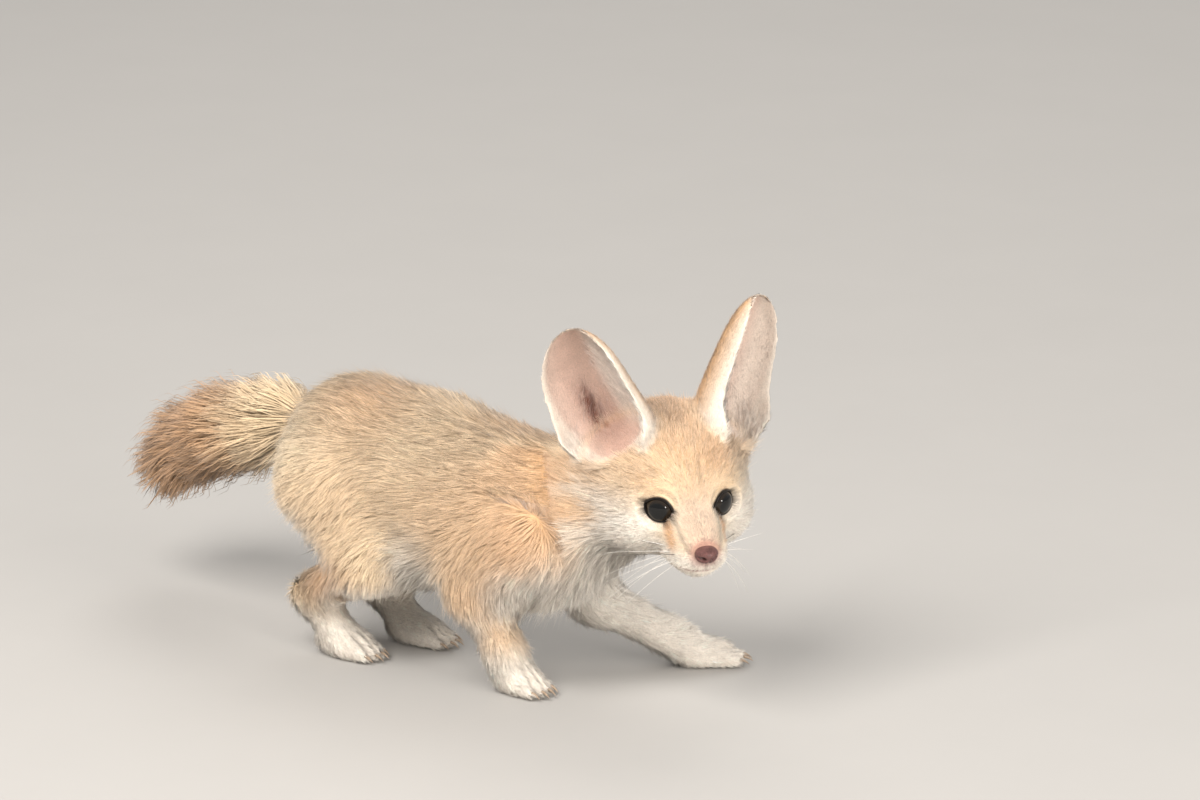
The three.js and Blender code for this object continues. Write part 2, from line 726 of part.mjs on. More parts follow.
// Nose pad, with a nostril on each side
const nostrils = both((side) => {
  const [x, y, z] = NOSTRIL.at;
  return solid(ballAt([x, side * y, z], NOSTRIL.radii, 6, 5));
});
const pad = nostrils.reduce(
  (made, nostril) => made.subtract(nostril),
  solid(ballAt(NOSE, NOSE_RADII))
);
headGroup.add(mesh("nose", largest(pad), colours.nose, 0.45));
head = head.subtract(solid(ballAt(NOSE, NOSE_RADII.map((r) => r + GAP))));

// Mouth: a wedge-shaped groove that follows the muzzle's surface from corner to corner.
function mouthGroove() {
  const pivot = point(MOUTH.pivot, 0, 0);
  const rings = [];
  for (let turn = -MOUTH.turn; turn <= MOUTH.turn; turn += MOUTH.step) {
    const outward = point(Math.cos(radians(turn)), Math.sin(radians(turn)), 0);
    const height = mix(MOUTH.middle, MOUTH.corner, (turn / MOUTH.turn) ** 2);
    let reach = 4;
    while (headLocal(pivot.x + outward.x * reach, outward.y * reach, height) < 0) reach += 0.1;
    const at = (far, up) => pivot.clone().addScaledVector(outward, reach + far).setZ(height + up);
    rings.push([at(3, -1.4), at(-MOUTH.depth, 0), at(3, 1.4)]);
  }
  return solid(loft(rings));
}
head = head.subtract(mouthGroove());

// Where an ear stands on the head, which way it leans and opens, and the way to the crown.
function earFrame(name, side) {
  const [ahead, out, height] = EAR_ROOT;
  const root = point(ahead, side * out, height);
  const tip = point(...EAR_TIPS[name]);
  const up = tip.clone().sub(root).normalize();
  const front = point(Math.cos(radians(EAR_TURN)), side * Math.sin(radians(EAR_TURN)), 0);
  front.addScaledVector(up, -front.dot(up)).normalize();
  const across = up.clone().cross(front);
  return { root, tip, up, front, across, crown: across.clone().multiplyScalar(-side) };
}

// The hollow that an ear's cup runs down into.
function earBowl(name, side) {
  const { root, up, front, across, crown } = earFrame(name, side);
  const bowl = new THREE.SphereGeometry(1, 14, 10).scale(12.5, 15, 12);
  bowl.applyMatrix4(new THREE.Matrix4().makeBasis(across, up, across.clone().cross(up)));
  const centre = root.clone().addScaledVector(up, 8).addScaledVector(front, 4);
  centre.addScaledVector(crown, CROWN_SHIFT / 2);
  return solid(bowl.translate(centre.x, centre.y, centre.z));
}

// Half the width of an ear at a height, 0 at its root and 1 at its tip.
const earHalfWidth = (s) =>
  (EAR_WIDTH / 2) * Math.sqrt(1 - Math.max(s, 0) ** 3) * mix(0.55, 1, smooth(s, -0.3, 0.22));

// An ear: a cupped leaf that opens forwards and outwards. A row runs round the back of the ear
// from rim to rim, on its outer and its inner face.
function earSheet(name, side) {
  const { root, tip, front, across, crown } = earFrame(name, side);
  const positions = [];
  for (let r = 0; r < EAR_ROWS; r++) {
    const s = mix(-0.2, 0.996, Math.sin((r / (EAR_ROWS - 1)) * (Math.PI / 2)));
    const wide = earHalfWidth(s);
    const halfArc = radians(mix(124, 90, smooth(s, 0, 0.4)));
    const thick = mix(2.6, 1.7, Math.max(s, 0));
    const middle = root.clone().lerp(tip, s);
    middle.addScaledVector(crown, CROWN_SHIFT * (1 - smooth(s, 0, 0.6)));
    for (const inset of [0, Math.min(thick, wide * 0.6)]) {
      for (let j = 0; j < EAR_STEPS; j++) {
        const a = mix(-halfArc, halfArc, j / (EAR_STEPS - 1));
        const radius = wide - inset;
        const place = middle
          .clone()
          .addScaledVector(across, radius * Math.sin(a))
          .addScaledVector(front, (wide * 0.4 - radius * Math.cos(a)) * 0.85);
        positions.push(...place.toArray());
      }
    }
  }
  const outer = (r, j) => r * 2 * EAR_STEPS + j;
  const inner = (r, j) => outer(r, j) + EAR_STEPS;
  const index = [];
  const quad = (...ring) => index.push(...splitQuad(ring, positions));
  const edge = EAR_STEPS - 1;
  for (let r = 0; r < EAR_ROWS - 1; r++) {
    for (let j = 0; j < edge; j++) {
      quad(outer(r, j), outer(r + 1, j), outer(r + 1, j + 1), outer(r, j + 1));
      quad(inner(r, j), inner(r, j + 1), inner(r + 1, j + 1), inner(r + 1, j));
    }
    quad(outer(r, 0), inner(r, 0), inner(r + 1, 0), outer(r + 1, 0));
    quad(outer(r, edge), outer(r + 1, edge), inner(r + 1, edge), inner(r, edge));
  }
  const last = EAR_ROWS - 1;
  for (let j = 0; j < edge; j++) {
    quad(outer(0, j), outer(0, j + 1), inner(0, j + 1), inner(0, j));
    quad(outer(last, j), inner(last, j), inner(last, j + 1), outer(last, j + 1));
  }
  return solid(
    new THREE.BufferGeometry()
      .setAttribute("position", new THREE.Float32BufferAttribute(positions, 3))
      .setIndex(index)
  );
}

const skullSpace = solid(grown(surfaceOf(toBody(flesh), ...headGrid), GAP));
for (const [name, side] of Object.entries(SIDES)) {
  head = head.subtract(earBowl(name, side));
  const ear = largest(earSheet(name, side).subtract(skullSpace));
  headGroup.add(mesh(`ear_${name}`, ear, colours.ear));
}
headGroup.add(mesh("head", largest(head.subtract(legSpaceInHead)), colours.face));

// The origin is under the middle of the part.
fox.updateMatrixWorld(true);
const middle = new THREE.Box3().setFromObject(fox, true).getCenter(point(0, 0, 0));
fox.position.set(-middle.x, -middle.y, 0);
fox.updateMatrixWorld(true);

export default fox;
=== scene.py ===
"""A fennec fox kit, life size, in its coat: one skin over the whole body, a coat of tufts that
follow its lie, wet eyes, nose, claws and whiskers, on a plain pale floor in soft studio light.

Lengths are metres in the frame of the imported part. MM turns a size in millimetres into metres."""

import math

import bpy
import numpy as np
from mathutils import Matrix, Vector, bvhtree, kdtree


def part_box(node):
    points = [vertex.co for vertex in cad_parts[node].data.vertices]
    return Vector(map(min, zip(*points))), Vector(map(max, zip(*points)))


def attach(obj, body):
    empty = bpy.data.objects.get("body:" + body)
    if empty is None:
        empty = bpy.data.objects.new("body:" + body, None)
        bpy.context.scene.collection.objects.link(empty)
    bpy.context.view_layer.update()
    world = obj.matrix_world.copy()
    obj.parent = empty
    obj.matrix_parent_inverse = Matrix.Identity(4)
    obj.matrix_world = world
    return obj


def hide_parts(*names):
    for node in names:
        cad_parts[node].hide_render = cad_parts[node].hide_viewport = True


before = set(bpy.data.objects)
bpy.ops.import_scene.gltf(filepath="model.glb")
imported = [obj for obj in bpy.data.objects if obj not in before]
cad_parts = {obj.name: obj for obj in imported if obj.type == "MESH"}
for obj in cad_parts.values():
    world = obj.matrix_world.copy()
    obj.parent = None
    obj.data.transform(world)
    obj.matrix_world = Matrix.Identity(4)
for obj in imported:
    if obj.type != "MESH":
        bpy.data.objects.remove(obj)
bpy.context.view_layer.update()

bl_info = {
    "name": "Fennec Fox Kit",
    "version": (1, 0, 0),
    "blender": (4, 5, 0),
    "location": "3D View > Sidebar > Fennec",
    "description": "Models a fennec fox kit with its coat around a fixed frame",
    "category": "Object",
}

MM = 0.001
WAVE_COUNT = 7  # waves summed in soft noise
SIDES = {"left": 1, "right": -1}
LEGS = [f"{end}leg_{side}" for end in ("fore", "hind") for side in SIDES]
PAWS = [name.replace("leg", "paw") for name in LEGS]
EARS = [f"ear_{side}" for side in SIDES]
FLESH = ["torso", "neck", "head", "tail", *EARS, *LEGS, *PAWS]


# Small sums on arrays of points


def smooth(value, low, high):
    """0 at low, 1 at high, eased between. It runs the other way where high is the lower."""
    t = np.clip((value - low) / (high - low), 0, 1)
    return t * t * (3 - 2 * t)


def hump(value, middle, width):
    """1 at the middle, falling away to both sides, to 0.37 at the width."""
    return np.exp(-(((value - middle) / width) ** 2))


def mix(a, b, t):
    """From a at t 0 to b at t 1, also for points and colours with a t each."""
    t = np.asarray(t, float)
    if t.ndim and (np.ndim(a) or np.ndim(b)) and np.shape(a)[-1:] != t.shape[-1:]:
        t = t[:, None]
    return a + (b - a) * t


def plain(colour, count):
    """Rows of one colour."""
    return np.tile(np.array(colour), (count, 1))


def blended(colours, colour, weight):
    """Rows of colours moved towards one colour, each by its own weight."""
    return colours + (np.array(colour) - colours) * np.clip(weight, 0, 1)[:, None]


def unit(rows):
    """Rows of vectors at length 1."""
    return rows / np.maximum(np.linalg.norm(rows, axis=-1, keepdims=True), 1e-12)


def flattened(directions, normals):
    """Directions laid into the surface that the normals stand on."""
    return unit(directions - normals * np.sum(directions * normals, axis=1, keepdims=True))


def waves(places, size, seed):
    """Soft noise about 0, mostly within 1 of it, whose swells are about `size` metres across."""
    draw = np.random.default_rng(seed)
    total = np.zeros(len(places))
    for _ in range(WAVE_COUNT):
        heading = unit(draw.normal(size=3)) * 2 * math.pi / (size * draw.uniform(0.7, 1.5))
        total += np.sin(places @ heading + draw.uniform(0, 2 * math.pi))
    return total / math.sqrt(WAVE_COUNT * 0.5) / 2


# Places worked out from the frame


def middle_of(node):
    """The middle of a CAD node's box."""
    low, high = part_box(node)
    return np.array((low + high) / 2)


TORSO_LOW, TORSO_HIGH = (np.array(corner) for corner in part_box("torso"))
RUMP_X = TORSO_LOW[0]
MIDLINE_Y = (TORSO_LOW[1] + TORSO_HIGH[1]) / 2

# The head's own frame: x towards the nose, y to its left, z up, from the eyes and the nose.
EYE_BALL_AT = np.array([18.42, 9.92, 1.66]) * MM
NOSE_AT = np.array([42.2, 0, -7.2]) * MM


def head_axes():
    """The head's origin, and its axes as the rows of a matrix."""
    eye_left, eye_right, nose = (middle_of(n) for n in ("eye_left", "eye_right", "nose"))
    between = (eye_left + eye_right) / 2
    across = unit(eye_left - eye_right)
    towards_nose = nose - between
    towards_nose = unit(towards_nose - across * (towards_nose @ across))
    upward = np.cross(towards_nose, across)
    drop = math.atan2(EYE_BALL_AT[2] - NOSE_AT[2], NOSE_AT[0] - EYE_BALL_AT[0])
    ahead = towards_nose * math.cos(drop) + upward * math.sin(drop)
    axes = np.array([ahead, across, np.cross(ahead, across)])
    return between - EYE_BALL_AT[0] * axes[0] - EYE_BALL_AT[2] * axes[2], axes


HEAD_ORIGIN, HEAD_AXES = head_axes()


def to_head(places):
    """Points of the row frame in the head's own."""
    return (places - HEAD_ORIGIN) @ HEAD_AXES.T


def from_head(*place):
    """A point of the head's own frame, given in millimetres, in the row frame."""
    return HEAD_ORIGIN + np.array(place) * MM @ HEAD_AXES


def eye_frame(side):
    """An eyeball's centre, with the ways across its lids, up, and out along its gaze."""
    sign = SIDES[side]
    look = unit(np.array([0.82, sign * 0.57, 0.05]))
    level = unit(np.cross([0, 0, 1], look))
    rise = np.cross(look, level)
    slant = math.radians(sign * LID_SLANT)
    across = level * math.cos(slant) + rise * math.sin(slant)
    basis = np.array([across, np.cross(look, across), look])
    return middle_of(f"eye_{side}"), basis @ HEAD_AXES


EYE_RADIUS = 6.8 * MM
LID_SLANT = 14  # degrees that the outer corner of the eye is raised
LID_HALF_WIDTH = 5.95 * MM
LID_RISE = {"upper": 5.0 * MM, "lower": 3.8 * MM}

# The line of the tail's core from inside the rump: back from it, left of the midline, height
TAIL_LINE = [(-14, 0, 85), (9, 1, 81.5), (32, 4.5, 75.5), (53, 10, 66), (70, 15, 53.5)]
TAIL_CORE = 8 * MM


def tail_point(t):
    """A place on the tail's line, t 0 at its root and 1 at its end, and the way back there."""
    line = np.array([(RUMP_X - b * MM, MIDLINE_Y + y * MM, z * MM) for b, y, z in TAIL_LINE])
    spans = np.linalg.norm(np.diff(line, axis=0), axis=1)
    marks = np.concatenate([[0], np.cumsum(spans)]) / spans.sum()
    place = np.array([np.interp(t, marks, line[:, axis]) for axis in range(3)])
    ahead = np.array([np.interp(min(t + 0.1, 1), marks, line[:, axis]) for axis in range(3)])
    behind = np.array([np.interp(max(t - 0.1, 0), marks, line[:, axis]) for axis in range(3)])
    return place, unit(ahead - behind)


# What a user would change


def length(name, description, millimetres):
    """A property that holds a length."""
    return bpy.props.FloatProperty(
        name=name, description=description, default=millimetres * MM, min=0, unit="LENGTH", precision=5
    )


def angle(name, description, degrees):
    """A property that holds an angle."""
    return bpy.props.FloatProperty(
        name=name, description=description, default=math.radians(degrees), unit="ROTATION"
    )


def colour(name, description, red, green, blue):
    """A property that holds a colour, given as it looks on a screen from 0 to 1."""
    linear = [c / 12.92 if c <= 0.04045 else ((c + 0.055) / 1.055) ** 2.4 for c in (red, green, blue)]
    return bpy.props.FloatVectorProperty(
        name=name, description=description, default=linear, min=0, max=1, size=3, subtype="COLOR"
    )


class FENNEC_PG_skin(bpy.types.PropertyGroup):
    """Sizes of the skin under the coat."""

    voxel: length("Voxel", "Grain of the skin's mesh", 1.15)
    face_detail: bpy.props.IntProperty(
        name="Face detail", description="Cuts of each edge round the eyes and mouth", default=2, min=0
    )
    lid_thickness: length("Lid thickness", "How far the lid's edge stands on the eyeball", 0.25)
    mouth_depth: length("Mouth depth", "Depth of the closed line of the mouth", 0.9)


class FENNEC_PG_coat(bpy.types.PropertyGroup):
    """How the coat grows."""

    density: bpy.props.FloatProperty(
        name="Density", description="Share of the full coat", default=1, min=0, max=1.2, subtype="FACTOR"
    )
    body_length: length("Body fur", "Length of a tuft on the flank", 9.5)
    tail_length: length("Tail fur", "Length of a lock on the tail", 23)
    clump: bpy.props.FloatProperty(
        name="Clump", description="How far tips gather", default=0.42, min=0, max=1, subtype="FACTOR"
    )
    seed: bpy.props.IntProperty(name="Seed", description="Seed of the coat's draws", default=8, min=0)


class FENNEC_PG_colours(bpy.types.PropertyGroup):
    """Colours of the coat and the bare skin."""

    sand: colour("Sand", "The flank", 0.97, 0.865, 0.71)
    buff: colour("Buff", "Shoulder, neck, crown and knees", 0.925, 0.725, 0.53)
    cream: colour("Cream", "Belly, chest, cheeks and feet", 0.975, 0.93, 0.87)
    grizzle: colour("Grizzle", "Dark tips along the back", 0.36, 0.28, 0.21)
    brush: colour("Brush", "The tail", 0.79, 0.63, 0.48)
    brush_tip: colour("Brush tip", "Tips of the tail's hairs", 0.34, 0.22, 0.14)
    ear_back: colour("Ear back", "The ears behind", 0.885, 0.71, 0.53)
    ear_skin: colour("Ear skin", "Bare skin in the ears", 0.885, 0.76, 0.695)
    ear_flush: colour("Ear flush", "The deep middle of the ears", 0.46, 0.22, 0.15)
    tear: colour("Tear mark", "The mark from the eye to the muzzle", 0.85, 0.62, 0.40)
    # also laid into the grooves between the toes as painted shade
    soot_and_groove_shade: colour("Soot", "Round the eyes and the whisker spots", 0.24, 0.17, 0.13)
    rim: colour("Rim", "The wet edge of the lids", 0.075, 0.05, 0.045)
    nose: colour("Nose", "The nose pad", 0.41, 0.275, 0.26)
    lip: colour("Lip", "The lips", 0.62, 0.38, 0.36)
    iris: colour("Iris", "The iris", 0.20, 0.16, 0.12)
    claw: colour("Claw", "The claws", 0.66, 0.58, 0.50)


class FENNEC_PG_stage(bpy.types.PropertyGroup):
    """Floor, light and camera."""

    floor: colour("Floor", "The plain floor", 0.70, 0.69, 0.675)
    key_power: bpy.props.FloatProperty(
        name="Key light", description="Power of the main soft light", default=31, min=0, unit="POWER"
    )
    azimuth: angle("Azimuth", "The camera's turn round the fox", 34)
    elevation: angle("Elevation", "The camera's height above the level", 17)
    distance: length("Distance", "From the camera to what it looks at", 2500)
    view_width: length("View width", "Width of the picture at that distance", 456)


GROUPS = {
    "fennec_skin": FENNEC_PG_skin,
    "fennec_coat": FENNEC_PG_coat,
    "fennec_colours": FENNEC_PG_colours,
    "fennec_stage": FENNEC_PG_stage,
}

# Working with objects


def alone(piece):
    """Leaves one object selected and active."""
    bpy.ops.object.select_all(action="DESELECT")
    piece.select_set(True)
    bpy.context.view_layer.objects.active = piece


def named(piece, name):
    """Names an object and its mesh."""
    piece.name = name
    piece.data.name = name
    return piece


def applied(piece, kind, **settings):
    """Adds a modifier and applies it."""
    alone(piece)
    modifier = piece.modifiers.new(kind.title(), kind)
    for name, value in settings.items():
        setattr(modifier, name, value)
    bpy.ops.object.modifier_apply(modifier=modifier.name)


def joined(pieces, name):
    """One object of several, with its place held by its mesh."""
    alone(pieces[0])
    for piece in pieces:
        piece.select_set(True)
    bpy.ops.object.join()
    bpy.ops.object.transform_apply(location=True, rotation=True, scale=True)
    return named(bpy.context.object, name)


def rows_of(items, key, width, kind=np.float32):
    """What the items of a mesh hold, one row each."""
    rows = np.empty(len(items) * width, kind)
    items.foreach_get(key, rows)
    return rows.reshape(-1, width)


def places_of(piece):
    """The mesh's points as rows."""
    return rows_of(piece.data.vertices, "co", 3).astype(float)


def normals_of(piece):
    """The mesh's normals at its points, as rows."""
    return rows_of(piece.data.vertex_normals, "vector", 3).astype(float)


def move_to(piece, places):
    """Puts the mesh's points at these rows."""
    piece.data.vertices.foreach_set("co", places.astype(np.float32).ravel())
    piece.data.update()


def ball(centre, radii, axes=None, segments=32, rings=20):
    """A sphere or egg at a place, with its radii along the axes given."""
    bpy.ops.object.select_all(action="DESELECT")
    bpy.ops.mesh.primitive_uv_sphere_add(segments=segments, ring_count=rings, radius=1, scale=(1, 1, 1))
    made = bpy.context.object
    turn = Matrix.Identity(3) if axes is None else Matrix(axes.tolist()).transposed()
    radii = [radii] * 3 if np.isscalar(radii) else radii
    made.data.transform(turn.to_4x4() @ Matrix.Diagonal([*radii, 1]))
    made.data.transform(Matrix.Translation(Vector(centre)))
    return made


def balls_along(joints, step):
    """Balls along a chain of joints in millimetres in the head's frame, [x, y, z, radius] each."""
    made = []
    for a, b in zip(joints, joints[1:]):
        count = max(1, round(float(np.linalg.norm(np.subtract(a[:3], b[:3]))) / step))
        for i in range(count + 1):
            x, y, z, radius = mix(np.array(a, float), np.array(b, float), i / count)
            made.append(ball(from_head(x, y, z), radius * MM))
    return made


def shaded(piece):
    """Smooth shading all over."""
    alone(piece)
    bpy.ops.object.shade_smooth()


# Materials


def material(name, roughness, specular=0.3, **sockets):
    """A new material with what its shader holds the same all over."""
    made = bpy.data.materials.new(name)
    made.use_nodes = True
    shader = made.node_tree.nodes["Principled BSDF"]
    shader.inputs["Roughness"].default_value = roughness
    shader.inputs["Specular IOR Level"].default_value = specular
    for socket, value in sockets.items():
        shader.inputs[socket.replace("_", " ")].default_value = value
    return made


def add_node(made, kind, inputs=None, **settings):
    """A node with its settings, its inputs given as values or as another node's output."""
    node = made.node_tree.nodes.new(kind)
    for name, value in settings.items():
        setattr(node, name, value)
    for name, value in (inputs or {}).items():
        if isinstance(value, bpy.types.NodeSocket):
            made.node_tree.links.new(value, node.inputs[name])
        else:
            node.inputs[name].default_value = value
    return node


def noise(made, size, detail=3, stretch=(1, 1, 1)):
    """Noise on the object's own coordinates, its grain about `size` metres."""
    coordinates = add_node(made, "ShaderNodeTexCoord")
    scaled = add_node(
        made, "ShaderNodeMapping", {"Vector": coordinates.outputs["Object"], "Scale": stretch}
    )
    return add_node(
        made,
        "ShaderNodeTexNoise",
        {"Vector": scaled.outputs["Vector"], "Scale": 1 / size, "Detail": detail, "Roughness": 0.6},
    ).outputs["Fac"]


def ramp(made, value, stops):
    """A colour ramp, each stop a place and a colour."""
    node = add_node(made, "ShaderNodeValToRGB", {"Fac": value})
    elements = node.color_ramp.elements
    while len(elements) < len(stops):
        elements.new(0.5)
    for element, (place, tint) in zip(elements, stops):
        element.position = place
        element.color = (*tint, 1)
    return node.outputs["Color"]


def tinted(made, base, value, dark, light):
    """A colour made darker and lighter by a value that runs from 0 to 1."""
    factor = ramp(made, value, [(0.3, [dark] * 3), (0.7, [light] * 3)])
    return add_node(
        made, "ShaderNodeMixRGB", {"Fac": 1, "Color1": base, "Color2": factor}, blend_type="MULTIPLY"
    ).outputs["Color"]


def set_colour(made, output):
    """Links a colour to the shader."""
    shader = made.node_tree.nodes["Principled BSDF"]
    made.node_tree.links.new(output, shader.inputs["Base Color"])


def set_bump(made, height, distance, strength=0.6):
    """Gives the shader a bump from a height."""
    inputs = {"Height": height, "Distance": distance, "Strength": strength}
    bump = add_node(made, "ShaderNodeBump", inputs)
    shader = made.node_tree.nodes["Principled BSDF"]
    made.node_tree.links.new(bump.outputs["Normal"], shader.inputs["Normal"])


def mottle(made, size, stops, grain, dark, light):
    """Gives a material a colour in patches about `size` metres across, varied by a grain."""
    set_colour(made, tinted(made, ramp(made, noise(made, size), stops), grain, dark, light))


def painted(made):
    """The colour that a piece's points carry."""
    return add_node(made, "ShaderNodeAttribute", attribute_name=PAINT).outputs["Color"]


PAINT = "coat_colour"


def paint(piece, colours):
    """Stores a colour at each of a mesh's points."""
    layer = piece.data.color_attributes.new(PAINT, "FLOAT_COLOR", "POINT")
    rows = np.ones((len(colours), 4), np.float32)
    rows[:, :3] = colours
    layer.data.foreach_set("color", rows.ravel())


def hair_material():
    """Soft matt hair in the colours that the tufts carry, a little uneven over the body."""
    made = material("fox_hair", 0.62, 0.25, Sheen_Weight=0.25, Sheen_Roughness=0.5)
    patchy = tinted(made, painted(made), noise(made, 9 * MM), 0.93, 1.06)
    set_colour(made, tinted(made, patchy, noise(made, 0.7 * MM, 2), 0.86, 1.1))
    return made


def skin_material():
    """The skin and the down close on it."""
    made = material("fox_skin", 0.7, 0.25)
    patchy = tinted(made, painted(made), noise(made, 5 * MM), 0.92, 1.05)
    set_colour(made, tinted(made, patchy, noise(made, 0.5 * MM, 2), 0.84, 1.08))
    set_bump(made, noise(made, 0.45 * MM, 4, (0.4, 1, 1)), 0.3 * MM, 0.7)
    return made


# The skin: what each of its points carries


class Skin:
    """The skin's points with their normals, their edges and the CAD node that each is nearest to."""

    def __init__(self, piece):
        self.piece = piece
        self.places = places_of(piece)
        self.normals = normals_of(piece)
        self.edges = rows_of(piece.data.edges, "vertices", 2, np.int32)
        self.node = nearest_nodes(self.places)

    def on(self, *nodes):
        """1 at the points that belong to these nodes."""
        return np.isin(self.node, [FLESH.index(n) for n in nodes]).astype(float)

    def spread(self, values, times):
        """Evens values out over neighbouring points."""
        a, b = self.edges.T
        count = 1 + np.bincount(a, minlength=len(values)) + np.bincount(b, minlength=len(values))
        flat = values.reshape(len(values), -1).astype(float)
        for _ in range(times):
            for column in range(flat.shape[1]):
                old = flat[:, column]
                total = old + np.bincount(a, old[b], len(old)) + np.bincount(b, old[a], len(old))
                flat[:, column] = total / count
        return flat.reshape(values.shape)


def nearest_nodes(places):
    """For each place the number of the flesh node whose surface is nearest."""
    best = np.full(len(places), np.inf)
    found = np.zeros(len(places), int)
    for number, name in enumerate(FLESH):
        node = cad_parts[name]
        tree = bvhtree.BVHTree.FromPolygons(
            [v.co for v in node.data.vertices], [list(p.vertices) for p in node.data.polygons]
        )
        low, high = (np.array(corner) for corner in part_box(name))
        near = np.all((places > low - NODE_ROOM) & (places < high + NODE_ROOM), axis=1)
        for i in np.flatnonzero(near):
            distance = tree.find_nearest(places[i])[3]
            if distance < best[i]:
                best[i] = distance
                found[i] = number
    return found


NODE_ROOM = 6 * MM  # how far beyond a node's box its skin may lie


def ear_frame(side):
    """Where an ear stands, its tip, and the ways up it, out of its cup and across it."""
    sign = SIDES[side]
    root = from_head(-10, sign * 21.5, 15)
    tip = from_head(*EAR_TIPS[side])
    up = unit(tip - root)
    opening = math.radians(EAR_TURN)
    front = np.array([math.cos(opening), sign * math.sin(opening), 0]) @ HEAD_AXES
    front = unit(front - up * (front @ up))
    return root, tip, up, front, np.cross(up, front)


EAR_TURN = 42  # degrees that the cups open outwards from straight ahead
EAR_TIPS = {"left": (-16, 36, 67.5), "right": (-14, -38, 62.5)}
EAR_HALF_WIDTH = 20.5 * MM
CUP_MIDDLE = 0.34  # how far the round of a cup is set ahead, as a share of its half width
CROWN_SHIFT = 4.5 * MM  # how far the foot of a cup is set towards the crown


def ear_place(side, places, normals):
    """For points of an ear: height from 0 to 1, the turn round it in degrees with the side by
    the crown positive, and whether the point is inside the cup."""
    root, tip, up, front, across = ear_frame(side)
    span = np.linalg.norm(tip - root)
    height = (places - root) @ up / span
    wide = EAR_HALF_WIDTH * np.sqrt(np.clip(1 - np.clip(height, 0, 1) ** 3, 0.01, 1))
    wide *= mix(0.55, 1, smooth(height, -0.3, 0.22))
    centre = root + np.outer(height * span, up) + np.outer(wide * CUP_MIDDLE, front)
    centre -= np.outer(CROWN_SHIFT * (1 - smooth(height, 0, 0.6)) * SIDES[side], across)
    out = places - centre
    turn = np.degrees(np.arctan2(out @ across, -(out @ front))) * -SIDES[side]
    return height, turn, np.sum(normals * (centre - places), axis=1) > 0


def in_bowl(side, places):
    """1 for places in the hollow that an ear's cup runs down into, less beyond its wall."""
    root, _, up, front, across = ear_frame(side)
    centre = root + up * 8 * MM + front * 4 * MM - across * SIDES[side] * CROWN_SHIFT / 2
    out = places - centre
    shares = out @ np.stack([across, up, front], axis=1) / BOWL_RADII
    return smooth(np.linalg.norm(shares, axis=1), 1.45, 1.22)


BOWL_RADII = np.array([12.5, 15, 12]) * MM  # across the ear, up it and out of its cup


def ear_fields(side, skin):
    """ear_place for the skin's points, and how red and hairy the deep middle of the ear is there."""
    height, turn, inside = ear_place(side, skin.places, skin.normals)
    streak = hump(height, 0.2, 0.2) * hump(turn, -38, 13)
    flush = np.clip(FLUSH[side] * streak * (1 + 0.5 * waves(skin.places, 3 * MM, 6)), 0, 1)
    return height, turn, inside, flush


PALE = {"left": 0.65, "right": 0.2}  # how far the outer side of each cup pales
PALE_FROM = {"left": (-25, -62), "right": (-48, -78)}  # turns over which the outer side pales
FLUSH = {"left": 0.3, "right": 1}  # the left ear's is mostly under its pale hairs


def bowls(skin):
    """in_bowl of both ears for the skin's points that face into a hollow."""
    found = np.zeros(len(skin.places))
    for side in SIDES:
        inside = ear_place(side, skin.places, skin.normals)[2]
        found = np.maximum(found, in_bowl(side, skin.places) * inside)
    return found * skin.on("head")


# Making the skin


def copy_of(node):
    """A copy of a CAD node's mesh with its loose triangles merged, a little grown to close gaps."""
    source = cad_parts[node]
    made = bpy.data.objects.new(f"skin_{node}", source.data.copy())
    bpy.context.collection.objects.link(made)
    alone(made)
    bpy.ops.object.mode_set(mode="EDIT")
    bpy.ops.mesh.select_all(action="SELECT")
    bpy.ops.mesh.remove_doubles(threshold=0.005 * MM)
    bpy.ops.object.mode_set(mode="OBJECT")
    applied(made, "DISPLACE", strength=GROWTH, mid_level=0)
    return made


GROWTH = 0.25 * MM  # how far the nodes are grown to close the gaps between them
# Balls along chains in the head's frame: x, y, z and radius in millimetres
FACE_FORMS = {
    "muzzle": [(13, 0, -5, 15), (28, 0, -8.5, 11), (35, 0, -9.6, 8.6)],
    "jaw": [(8, 0, -15, 11), (24, 0, -16.3, 7.4), (33.5, 0, -17.2, 4.4)],
}
FORM_STEP = 2  # millimetres from ball to ball
UPPER_LIP = {"at": (33.5, 4.6, -11.2), "radii": (8, 6, 5.2)}
LID_FLESH = 1 * MM  # skin laid over each eyeball before the lids are opened


def raw_skin(sizes):
    """The flesh nodes, the forms of the face and the tail's core in one closed surface."""
    parts = [copy_of(name) for name in FLESH if name != "tail"]
    for joints in FACE_FORMS.values():
        parts += balls_along(joints, FORM_STEP)
    for side in SIDES.values():
        x, y, z = UPPER_LIP["at"]
        radii = [r * MM for r in UPPER_LIP["radii"]]
        parts.append(ball(from_head(x, side * y, z), radii, HEAD_AXES))
        parts.append(ball(from_head(*(EYE_BALL_AT * [1, side, 1] / MM)), EYE_RADIUS + LID_FLESH))
    for i in range(TAIL_BALLS):
        t = i / (TAIL_BALLS - 1)
        taper = 1.35 - 0.35 * smooth(t, 0, 0.3) - 0.55 * t**5
        parts.append(ball(tail_point(t)[0], TAIL_CORE * taper))
    skin = joined(parts, "skin")
    applied(skin, "REMESH", mode="VOXEL", voxel_size=sizes.voxel, adaptivity=0)
    return skin


TAIL_BALLS = 30


